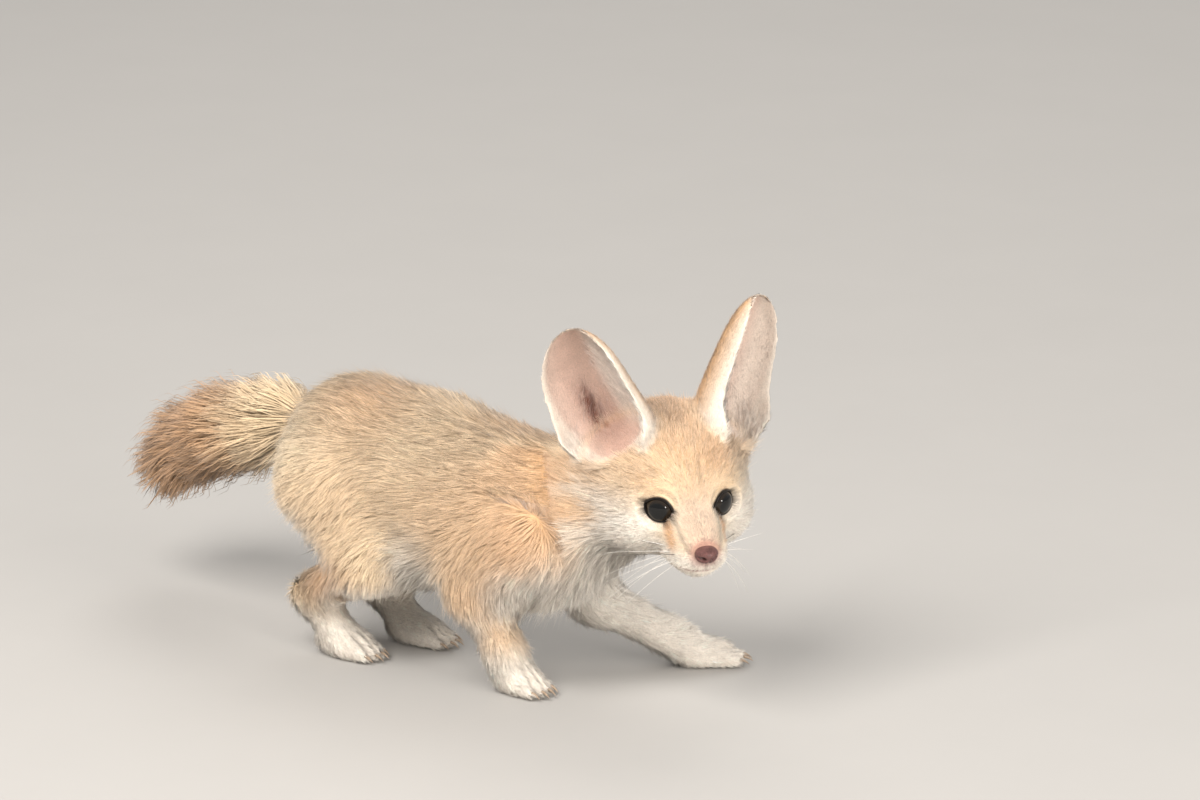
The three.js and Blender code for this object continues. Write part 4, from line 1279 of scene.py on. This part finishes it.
def grow_coat(skin, fields, coat, name):
    """One piece of the coat. Tufts vary one by one and, more alike, clump by clump."""
    nodes, _, kind, _, width, lead = COAT_PIECES[name]
    draw = np.random.default_rng(coat.seed + list(COAT_PIECES).index(name))
    roots = roots_of(skin, fields, coat, name, draw)
    field = {key: at_roots(values, roots) for key, values in fields.items() if key != "grizzle"}
    root = at_roots(skin.places, roots)
    normal = unit(at_roots(skin.normals, roots))
    count = len(root)
    own, apart = leaders_of(root, draw, lead)
    guard = draw.random(count) < GUARD_SHARE
    turn = draw.normal(0, 0.13, count) + draw.normal(0, 0.15, count)[own]
    lie = flattened(field["lie"], normal)
    lie = flattened(lie + np.cross(normal, lie) * turn[:, None], normal)
    stand_out = 0.3 if nodes == ["tail"] else 1
    long = field["length"] * draw.uniform(0.72, 1.15, count)
    long *= 1 + 0.35 * stand_out * guard
    swing = draw.uniform(0.55, 1.3, count) * draw.uniform(0.7, 1.35, count)[own]
    swing *= 1 + 0.5 * stand_out * guard
    lift = np.minimum(field["lift"] * swing, MOST_LIFT)
    cant = draw.normal(0, 0.3, count) + draw.normal(0, 0.2, count)[own]
    wide = width * MM * draw.uniform(0.7, 1.25, count) * np.clip(long / (3 * MM), 0.55, 1)
    tip = root + lie * (long * np.cos(lift))[:, None] + normal * (long * np.sin(lift) * 0.8)[:, None]
    pull = coat.clump * hump(apart, 0, 0.4 * long) * draw.uniform(0.5, 1.2, count) * ~guard
    tip = mix(tip, tip[own], pull)
    tip[:, 2] = np.maximum(tip[:, 2], ABOVE_FLOOR)
    tone = draw.normal(1, 0.055, count) + draw.normal(0, 0.055, count)[own]
    tint = np.clip(field["colour"] * tone[:, None], 0, 1)
    dark = draw.random(count) < field["dark"] * (1 + 2 * guard)
    dark = dark * draw.uniform(0.45, 0.9, count)
    grown = {
        "root": root,
        "tip": tip,
        "normal": normal,
        "lie": lie,
        "length": long,
        "width": wide * (1 - 0.25 * guard),
        "bow": np.sin(lift) * 0.28,
        "cant": cant,
        # painted shade: the colour at the root, darkened as if shaded by the hairs over it
        "painted_root_shade": tint * field["painted_root_shade"][:, None],
        "colour": tint,
        "end": blended(np.clip(field["tips"] * tone[:, None], 0, 1), fields["grizzle"], dark),
    }
    split = ear_place(nodes[0][4:], root, normal)[2] if nodes[0] in EARS else None
    piece = make_tufts(name, kind, grown, unwrap(root, *map_axis(nodes[0], skin), split))
    finished(piece, bpy.data.materials.get("fox_hair") or hair_material())


def map_axis(node, skin):
    """The axis that the map of a node's coat turns round, and a point on it."""
    middle = skin.places[skin.on(node) > 0].mean(axis=0)
    if node in EARS:
        return ear_frame(node[4:])[2], middle
    if node == "head":
        return HEAD_AXES[0], middle
    if node == "tail":
        return unit(tail_point(1)[0] - tail_point(0)[0]), middle
    if node in LEGS:
        return unit(middle_of(PAWS[LEGS.index(node)]) - middle), middle
    return np.array([1.0, 0, 0]), middle


# Eyes, nose, claws and whiskers


def tube(name, paths, tints=None):
    """Closed tapered tubes in one mesh. Each path is a list of points with a radius each."""
    points, faces, carried = [], [], []
    for number, path in enumerate(paths):
        start = len(points)
        line = np.array([p for p, _ in path])
        closed = np.allclose(line[0], line[-1])
        rows = len(path) - closed
        for i in range(rows):
            ahead = line[(i + 1) % rows] if closed or i < rows - 1 else line[i] * 2 - line[i - 1]
            way = unit(ahead - line[i])
            side = unit(np.cross(way, [0.31, 0.17, 0.93]))
            top = np.cross(side, way)
            for s in range(TUBE_SIDES):
                turn = 2 * math.pi * s / TUBE_SIDES
                points.append(line[i] + (side * math.cos(turn) + top * math.sin(turn)) * path[i][1])
                carried.append(tints[number] if tints else (1, 1, 1))
        for i in range(rows if closed else rows - 1):
            low, high = start + i * TUBE_SIDES, start + (i + 1) % rows * TUBE_SIDES
            for s in range(TUBE_SIDES):
                n = (s + 1) % TUBE_SIDES
                faces.append((low + s, high + s, high + n, low + n))
        if not closed:
            faces.append(tuple(start + s for s in range(TUBE_SIDES)))
            faces.append(tuple(start + (rows - 1) * TUBE_SIDES + s for s in reversed(range(TUBE_SIDES))))
    mesh = bpy.data.meshes.new(name)
    mesh.from_pydata([tuple(p) for p in points], [], faces)
    piece = bpy.data.objects.new(name, mesh)
    bpy.context.collection.objects.link(piece)
    alone(piece)
    bpy.ops.object.mode_set(mode="EDIT")
    bpy.ops.mesh.select_all(action="SELECT")
    bpy.ops.mesh.normals_make_consistent(inside=False)
    bpy.ops.object.mode_set(mode="OBJECT")
    shaded(piece)
    if tints:
        paint(piece, np.array(carried))
    return piece


TUBE_SIDES = 6


def finished(piece, made, replaces=()):
    """Gives a piece its material, hangs it on the root body and hides the CAD nodes that it replaces."""
    piece.data.materials.clear()
    piece.data.materials.append(made)
    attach(piece, "root")
    if replaces:
        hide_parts(*replaces)


def eye_material(side, iris):
    """A wet eye: a black pupil in a dark, uneven iris that darkens outwards."""
    centre, (_, _, look) = eye_frame(side)
    made = material(f"fox_eye_{side}", 0.08, 0.35, Coat_Weight=0.25, Coat_Roughness=0.02)
    coordinates = add_node(made, "ShaderNodeTexCoord")
    from_middle = add_node(
        made, "ShaderNodeVectorMath", {0: coordinates.outputs["Object"], 1: centre}, operation="SUBTRACT"
    )
    towards = {0: from_middle.outputs[0], 1: look / EYE_RADIUS}
    facing = add_node(made, "ShaderNodeVectorMath", towards, operation="DOT_PRODUCT")
    streaks = noise(made, 0.5 * MM, 5)
    added = {0: streaks, 1: 0.03, 2: facing.outputs["Value"]}
    uneven = add_node(made, "ShaderNodeMath", added, operation="MULTIPLY_ADD")
    iris = np.array(iris)
    stops = [
        (0.0, (0.012, 0.008, 0.008)),
        (0.42, iris * 0.05),
        (0.62, iris * 0.2),
        (0.80, iris * 0.55),
        (0.92, iris * 0.4),
        (0.945, (0.004, 0.004, 0.004)),
        (1.0, (0.003, 0.003, 0.003)),
    ]
    tone = ramp(made, uneven.outputs[0], stops)
    set_colour(made, tinted(made, tone, streaks, 0.7, 1.25))
    return made


def make_eye(side, colours):
    """An eyeball with the cornea's swell."""
    centre, (across, up, look) = eye_frame(side)
    eye = ball(centre, EYE_RADIUS, np.array([up, across, look]), 64, 40)
    out = places_of(eye) - centre
    swell = CORNEA_SWELL * smooth(unit(out) @ look, *np.cos(np.radians(CORNEA)))
    move_to(eye, centre + out + unit(out) * swell[:, None])
    shaded(named(eye, f"eyeball_{side}"))
    finished(eye, eye_material(side, colours.iris), [f"eye_{side}"])


CORNEA = (46, 24)  # degrees from the gaze over which the cornea rises to its full swell
CORNEA_SWELL = 0.45 * MM
RIM_STAND = 0.3 * MM  # from the eyeball to the middle of the rim
RIM_RADIUS = 0.38 * MM
CORNER_RADII = np.array([1.5, 1.0, 0.9]) * MM


def make_rim(side, colours):
    """The dark wet edge of the lids."""
    centre, (across, up, look) = eye_frame(side)
    path = []
    for turn in np.linspace(0, 2 * math.pi, 49):
        u = math.cos(turn)
        rise = LID_RISE["upper"] if math.sin(turn) > 0 else LID_RISE["lower"]
        b = rise * (1 - u * u) ** 0.7 * math.copysign(1, math.sin(turn))
        a = u * LID_HALF_WIDTH * SIDES[side]
        depth = math.sqrt(max((EYE_RADIUS + RIM_STAND) ** 2 - a * a - b * b, 0))
        path.append((centre + across * a + up * b + look * depth, RIM_RADIUS))
    path[-1] = path[0]
    rim = tube(f"eye_rim_{side}", [path])
    made = material(f"fox_rim_{side}", 0.3, 0.5)
    tint = np.array(colours.rim)
    mottle(made, 1.5 * MM, [(0, tint * 0.5), (1, tint * 1.2)], noise(made, 0.3 * MM), 0.7, 1.2)
    finished(rim, made)


def make_eye_corner(side):
    """The pink flesh in the inner corner of an eye."""
    across, up, look = eye_frame(side)[1]
    place = eye_corner(side) + (across * SIDES[side] * 0.9 + look * 0.25) * MM
    corner = ball(place, CORNER_RADII, np.array([across, up, look]), 24, 16)
    shaded(named(corner, f"eye_corner_{side}"))
    made = material(f"fox_corner_{side}", 0.15, 0.5)
    stops = [(0, (0.34, 0.17, 0.17)), (1, (0.62, 0.44, 0.44))]
    mottle(made, 0.8 * MM, stops, noise(made, 0.3 * MM), 0.8, 1.1)
    finished(corner, made)


NOSTRIL = np.array([45.6, 2.5, -7.8]) * MM
NOSE_RADII = np.array([3.9, 4.5, 3.4]) * MM


def make_nose(colours):
    """The nose pad, with a comma of a nostril on each side and the split down its middle."""
    nose = named(ball(from_head(*(NOSE_AT / MM)), NOSE_RADII, HEAD_AXES, 96, 64), "nose_pad")
    local = to_head(places_of(nose))
    out = unit(local - NOSE_AT)
    side, z = np.abs(local[:, 1]), local[:, 2]
    hole = ((side - NOSTRIL[1]) / (1.15 * MM)) ** 2 + ((z - NOSTRIL[2]) / (0.95 * MM)) ** 2
    slit = hump(side, 3.7 * MM, 1.1 * MM) * hump(z, NOSTRIL[2] + 0.3 * MM, 0.4 * MM)
    split = 0.35 * MM * hump(side, 0, 0.35 * MM) * smooth(z, -6 * MM, -8 * MM)
    dent = 2.2 * MM * np.exp(-(hole**1.5)) + 1.0 * MM * slit + split
    flat = 0.35 * MM * smooth(out[:, 2], 0.4, 1)
    local = local - out * (dent * smooth(out[:, 0], -0.1, 0.3) + flat)[:, None]
    move_to(nose, HEAD_ORIGIN + local @ HEAD_AXES)
    shaded(nose)
    made = material("fox_nose", 0.38, 0.5)
    coordinates = add_node(made, "ShaderNodeTexCoord")
    inputs = {"Vector": coordinates.outputs["Object"], "Scale": 1 / (0.45 * MM)}
    grain = add_node(made, "ShaderNodeTexVoronoi", inputs).outputs["Distance"]
    tint = np.array(colours.nose)
    mottle(made, 3 * MM, [(0.3, tint * 0.6), (0.7, tint * 1.3)], grain, 0.75, 1.15)
    set_bump(made, grain, 0.12 * MM, 0.5)
    finished(nose, made, ["nose"])


def make_claws(paw, colours):
    """The four curved claws of a paw."""
    middle, ahead, across = paw_frame(paw)
    paths = []
    for side in CLAW_SPOTS:
        reach = PAW_PLACES[paw]["length"] * (0.4 if abs(side) > 0.3 else 0.49) + 3.2
        base = middle + ahead * reach * MM + across * side * PAW_WIDTH * MM
        path = []
        for t in np.linspace(0, 1, 9):
            forward = ahead * CLAW_LENGTH * t
            fall = CLAW_LENGTH * (0.1 * t + 0.42 * t * t)
            radius = 0.6 * MM * (1 - t**1.6) + 0.05 * MM
            path.append((base + forward + [0, 0, CLAW_HEIGHT - fall], radius))
        paths.append(path)
    claws = tube(paw.replace("paw", "claws"), paths)
    made = bpy.data.materials.get("fox_claw")
    if made is None:
        made = material("fox_claw", 0.35, 0.4)
        tint = np.array(colours.claw)
        stops = [(0.3, tint * 0.7), (0.7, tint * 1.2)]
        mottle(made, 1.2 * MM, stops, noise(made, 0.3 * MM), 0.85, 1.1)
    finished(claws, made)


CLAW_LENGTH = 3.8 * MM
CLAW_HEIGHT = 3.5 * MM  # of a claw's root above the ground
CLAW_SPOTS = (-0.36, -0.125, 0.125, 0.36)  # across the paw, as shares of its width
PALE_WHISKER = (0.86, 0.82, 0.76)
DARK_WHISKER = (0.05, 0.035, 0.025)


def make_whiskers(seed):
    """The whiskers, swept out, back and down from both lips: some of the top row are dark."""
    draw = np.random.default_rng(seed)
    paths, tints = [], []
    for sign in SIDES.values():
        for number, spot in enumerate(whisker_spots(sign)):
            row, place = divmod(number, WHISKERS_IN_ROW)
            long = draw.uniform(19, 27) + 3.2 * place
            root = HEAD_ORIGIN + spot @ HEAD_AXES
            aim = np.array([-0.35 - 0.16 * place, sign * draw.uniform(0.75, 1.0), -0.12 - 0.33 * row])
            aim = unit(aim + draw.normal(0, 0.08, 3)) @ HEAD_AXES
            sag = np.array([0, 0, -0.2 - 0.1 * row]) + HEAD_AXES[0] * -0.28
            path = []
            for t in np.linspace(0, 1, 12):
                at = root + (aim * t + sag * t * t) * long * MM
                path.append((at, mix(0.14, 0.03, t**0.8) * MM))
            paths.append(path)
            pale = row > 0 or draw.random() < 0.4
            tints.append(PALE_WHISKER if pale else DARK_WHISKER)
    whiskers = tube("whiskers", paths, tints)
    made = material("fox_whisker", 0.35, 0.4)
    set_colour(made, tinted(made, painted(made), noise(made, 2 * MM), 0.85, 1.1))
    finished(whiskers, made)


# The stage


# Where the camera looks, from the midline of the rump
AIM = np.array([RUMP_X + 119.5 * MM, MIDLINE_Y + 33.9 * MM, 105.2 * MM])
LIGHT_COLOUR = (1, 0.96, 0.92)
# The soft lights: share of the key's power, size, turn from the camera's and height above the
# level in degrees, distance
SOFT_LIGHTS = {
    "key": (1, 0.9, -38, 46, 1.6),
    "fill": (0.75, 1.6, 45, 20, 1.9),
    "back": (0.4, 1.2, 175, 50, 1.8),
}
CATCH_LIGHT = (3, 0.16, 36, 13, 1.2)  # power instead of a share, and mirrored in the eyes
WORLD_LIGHT = 0.46
FLOOR_SIZE = 9


def direction(azimuth, elevation):
    """The way from the fox to something at an azimuth and elevation in radians."""
    level = math.cos(elevation)
    return np.array([math.sin(azimuth) * level, -math.cos(azimuth) * level, math.sin(elevation)])


def soft_light(name, power, size, azimuth, elevation, distance, mirrored=False):
    """A square soft light aimed at the fox, its angles in radians, mirrored in the eyes or not."""
    lamp = bpy.data.lights.new(name, "AREA")
    lamp.energy, lamp.size = power, size
    lamp.color = LIGHT_COLOUR
    light = bpy.data.objects.new(name, lamp)
    bpy.context.collection.objects.link(light)
    back = direction(azimuth, elevation)
    light.location = AIM + back * distance
    light.rotation_euler = Vector(-back).to_track_quat("-Z", "Y").to_euler()
    light.visible_glossy = mirrored


# Operators

built = {}


class FENNEC_OT_skin(bpy.types.Operator):
    """Makes the one skin of the body, head, ears, legs and tail"""

    bl_idname = "fennec.skin"
    bl_label = "Skin"

    def execute(self, context):
        sizes, coat = context.scene.fennec_skin, context.scene.fennec_coat
        piece = raw_skin(sizes)
        relax(piece)
        refine_face(piece, sizes.face_detail)
        shape_toes(piece)
        skin = Skin(piece)
        depth = depths_on(skin, lengths_on(skin, coat)) + GROWTH
        move_to(piece, skin.places - skin.normals * depth[:, None])
        applied(piece, "SMOOTH", factor=0.4, iterations=2)
        shape_lids(piece, sizes.lid_thickness)
        shape_mouth(piece, sizes.mouth_depth)
        shaded(piece)
        skin = Skin(piece)
        colours = context.scene.fennec_colours
        tint, tips, dark = markings_on(skin, colours)
        # Painted shade: the roots of the tufts and the skin between them are painted darker, as if
        # shaded by the coat above.
        painted_root_shade = skin.spread(mix(0.85, 0.87, skin.on("head", *EARS, *PAWS)), 12)
        paint(piece, tint * mix(painted_root_shade, 1, 0.35)[:, None])
        finished(piece, skin_material(), FLESH)
        built["skin"] = skin
        built["fields"] = {
            "length": lengths_on(skin, coat),
            "lift": lifts_on(skin),
            "lie": lie_on(skin),
            "colour": tint,
            "tips": tips,
            "dark": dark,
            "painted_root_shade": painted_root_shade,
            "grizzle": np.array(colours.grizzle),
            "density": densities_on(skin),
        }
        return {"FINISHED"}


class FENNEC_OT_coat(bpy.types.Operator):
    """Grows the coat over the skin, in pieces for each part of the body"""

    bl_idname = "fennec.coat"
    bl_label = "Coat"

    def execute(self, context):
        if "skin" not in built:
            raise RuntimeError("make the skin before the coat")
        for name in COAT_PIECES:
            grow_coat(built["skin"], built["fields"], context.scene.fennec_coat, name)
        return {"FINISHED"}


class FENNEC_OT_eyes(bpy.types.Operator):
    """Makes the eyeballs, their rims and inner corners"""

    bl_idname = "fennec.eyes"
    bl_label = "Eyes"

    def execute(self, context):
        for side in SIDES:
            make_eye(side, context.scene.fennec_colours)
            make_rim(side, context.scene.fennec_colours)
            make_eye_corner(side)
        return {"FINISHED"}


class FENNEC_OT_nose(bpy.types.Operator):
    """Makes the nose pad"""

    bl_idname = "fennec.nose"
    bl_label = "Nose"

    def execute(self, context):
        make_nose(context.scene.fennec_colours)
        return {"FINISHED"}


class FENNEC_OT_claws(bpy.types.Operator):
    """Makes the claws of the four paws"""

    bl_idname = "fennec.claws"
    bl_label = "Claws"

    def execute(self, context):
        for paw in PAWS:
            make_claws(paw, context.scene.fennec_colours)
        return {"FINISHED"}


class FENNEC_OT_whiskers(bpy.types.Operator):
    """Makes the whiskers"""

    bl_idname = "fennec.whiskers"
    bl_label = "Whiskers"

    def execute(self, context):
        make_whiskers(context.scene.fennec_coat.seed)
        return {"FINISHED"}


class FENNEC_OT_stage(bpy.types.Operator):
    """Makes the floor, the lights and the camera"""

    bl_idname = "fennec.stage"
    bl_label = "Stage"

    def execute(self, context):
        sizes = context.scene.fennec_stage
        bpy.ops.object.select_all(action="DESELECT")
        bpy.ops.mesh.primitive_plane_add(size=FLOOR_SIZE)
        floor = context.object
        floor.name = "floor"
        applied(floor, "SOLIDIFY", thickness=20 * MM, offset=-1)
        made = material("studio_floor", 0.7, 0.2)
        tint = np.array(sizes.floor)
        set_colour(made, ramp(made, noise(made, 60 * MM), [(0, tint * 0.98), (1, tint * 1.02)]))
        floor.data.materials.append(made)

        for name, row in [*SOFT_LIGHTS.items(), ("catch", CATCH_LIGHT)]:
            power, size, turn, height, distance = row
            if name in SOFT_LIGHTS:
                power *= sizes.key_power
            azimuth = sizes.azimuth + math.radians(turn)
            soft_light(name, power, size, azimuth, math.radians(height), distance, name == "catch")
        world = bpy.data.worlds.new("studio")
        world.use_nodes = True
        world.node_tree.nodes["Background"].inputs["Color"].default_value = (1, 1, 1, 1)
        world.node_tree.nodes["Background"].inputs["Strength"].default_value = WORLD_LIGHT
        context.scene.world = world

        camera = bpy.data.objects.new("camera", bpy.data.cameras.new("camera"))
        bpy.context.collection.objects.link(camera)
        back = direction(sizes.azimuth, sizes.elevation)
        camera.location = AIM + back * sizes.distance
        camera.rotation_mode = "QUATERNION"
        camera.rotation_quaternion = Vector(-back).to_track_quat("-Z", "Y")
        camera.data.lens = camera.data.sensor_width * sizes.distance / sizes.view_width
        camera.data.clip_start, camera.data.clip_end = 0.01, 100
        context.scene.camera = camera
        context.scene.view_settings.view_transform = "Standard"
        return {"FINISHED"}


class FENNEC_PT_panel(bpy.types.Panel):
    """Lists the sizes and the operators"""

    bl_idname = "FENNEC_PT_panel"
    bl_label = "Fennec Fox Kit"
    bl_space_type = "VIEW_3D"
    bl_region_type = "UI"
    bl_category = "Fennec"

    def draw(self, context):
        for operator in OPERATORS:
            self.layout.operator(operator.bl_idname)
        for name in GROUPS:
            group = getattr(context.scene, name)
            box = self.layout.box()
            for prop in group.bl_rna.properties:
                if prop.identifier not in ("rna_type", "name"):
                    box.prop(group, prop.identifier)


OPERATORS = [
    FENNEC_OT_skin,
    FENNEC_OT_coat,
    FENNEC_OT_eyes,
    FENNEC_OT_nose,
    FENNEC_OT_claws,
    FENNEC_OT_whiskers,
    FENNEC_OT_stage,
]
CLASSES = [*GROUPS.values(), *OPERATORS, FENNEC_PT_panel]


def register():
    """Registers the classes and hangs the settings on the scene."""
    for cls in CLASSES:
        bpy.utils.register_class(cls)
    for name, group in GROUPS.items():
        setattr(bpy.types.Scene, name, bpy.props.PointerProperty(type=group))


def unregister():
    """Takes the settings and the classes away again."""
    for name in GROUPS:
        delattr(bpy.types.Scene, name)
    for cls in reversed(CLASSES):
        bpy.utils.unregister_class(cls)


def main():
    """Makes every piece in order."""
    register()
    bpy.ops.fennec.skin()
    bpy.ops.fennec.coat()
    bpy.ops.fennec.eyes()
    bpy.ops.fennec.nose()
    bpy.ops.fennec.claws()
    bpy.ops.fennec.whiskers()
    bpy.ops.fennec.stage()


if __name__ == "__main__":
    main()
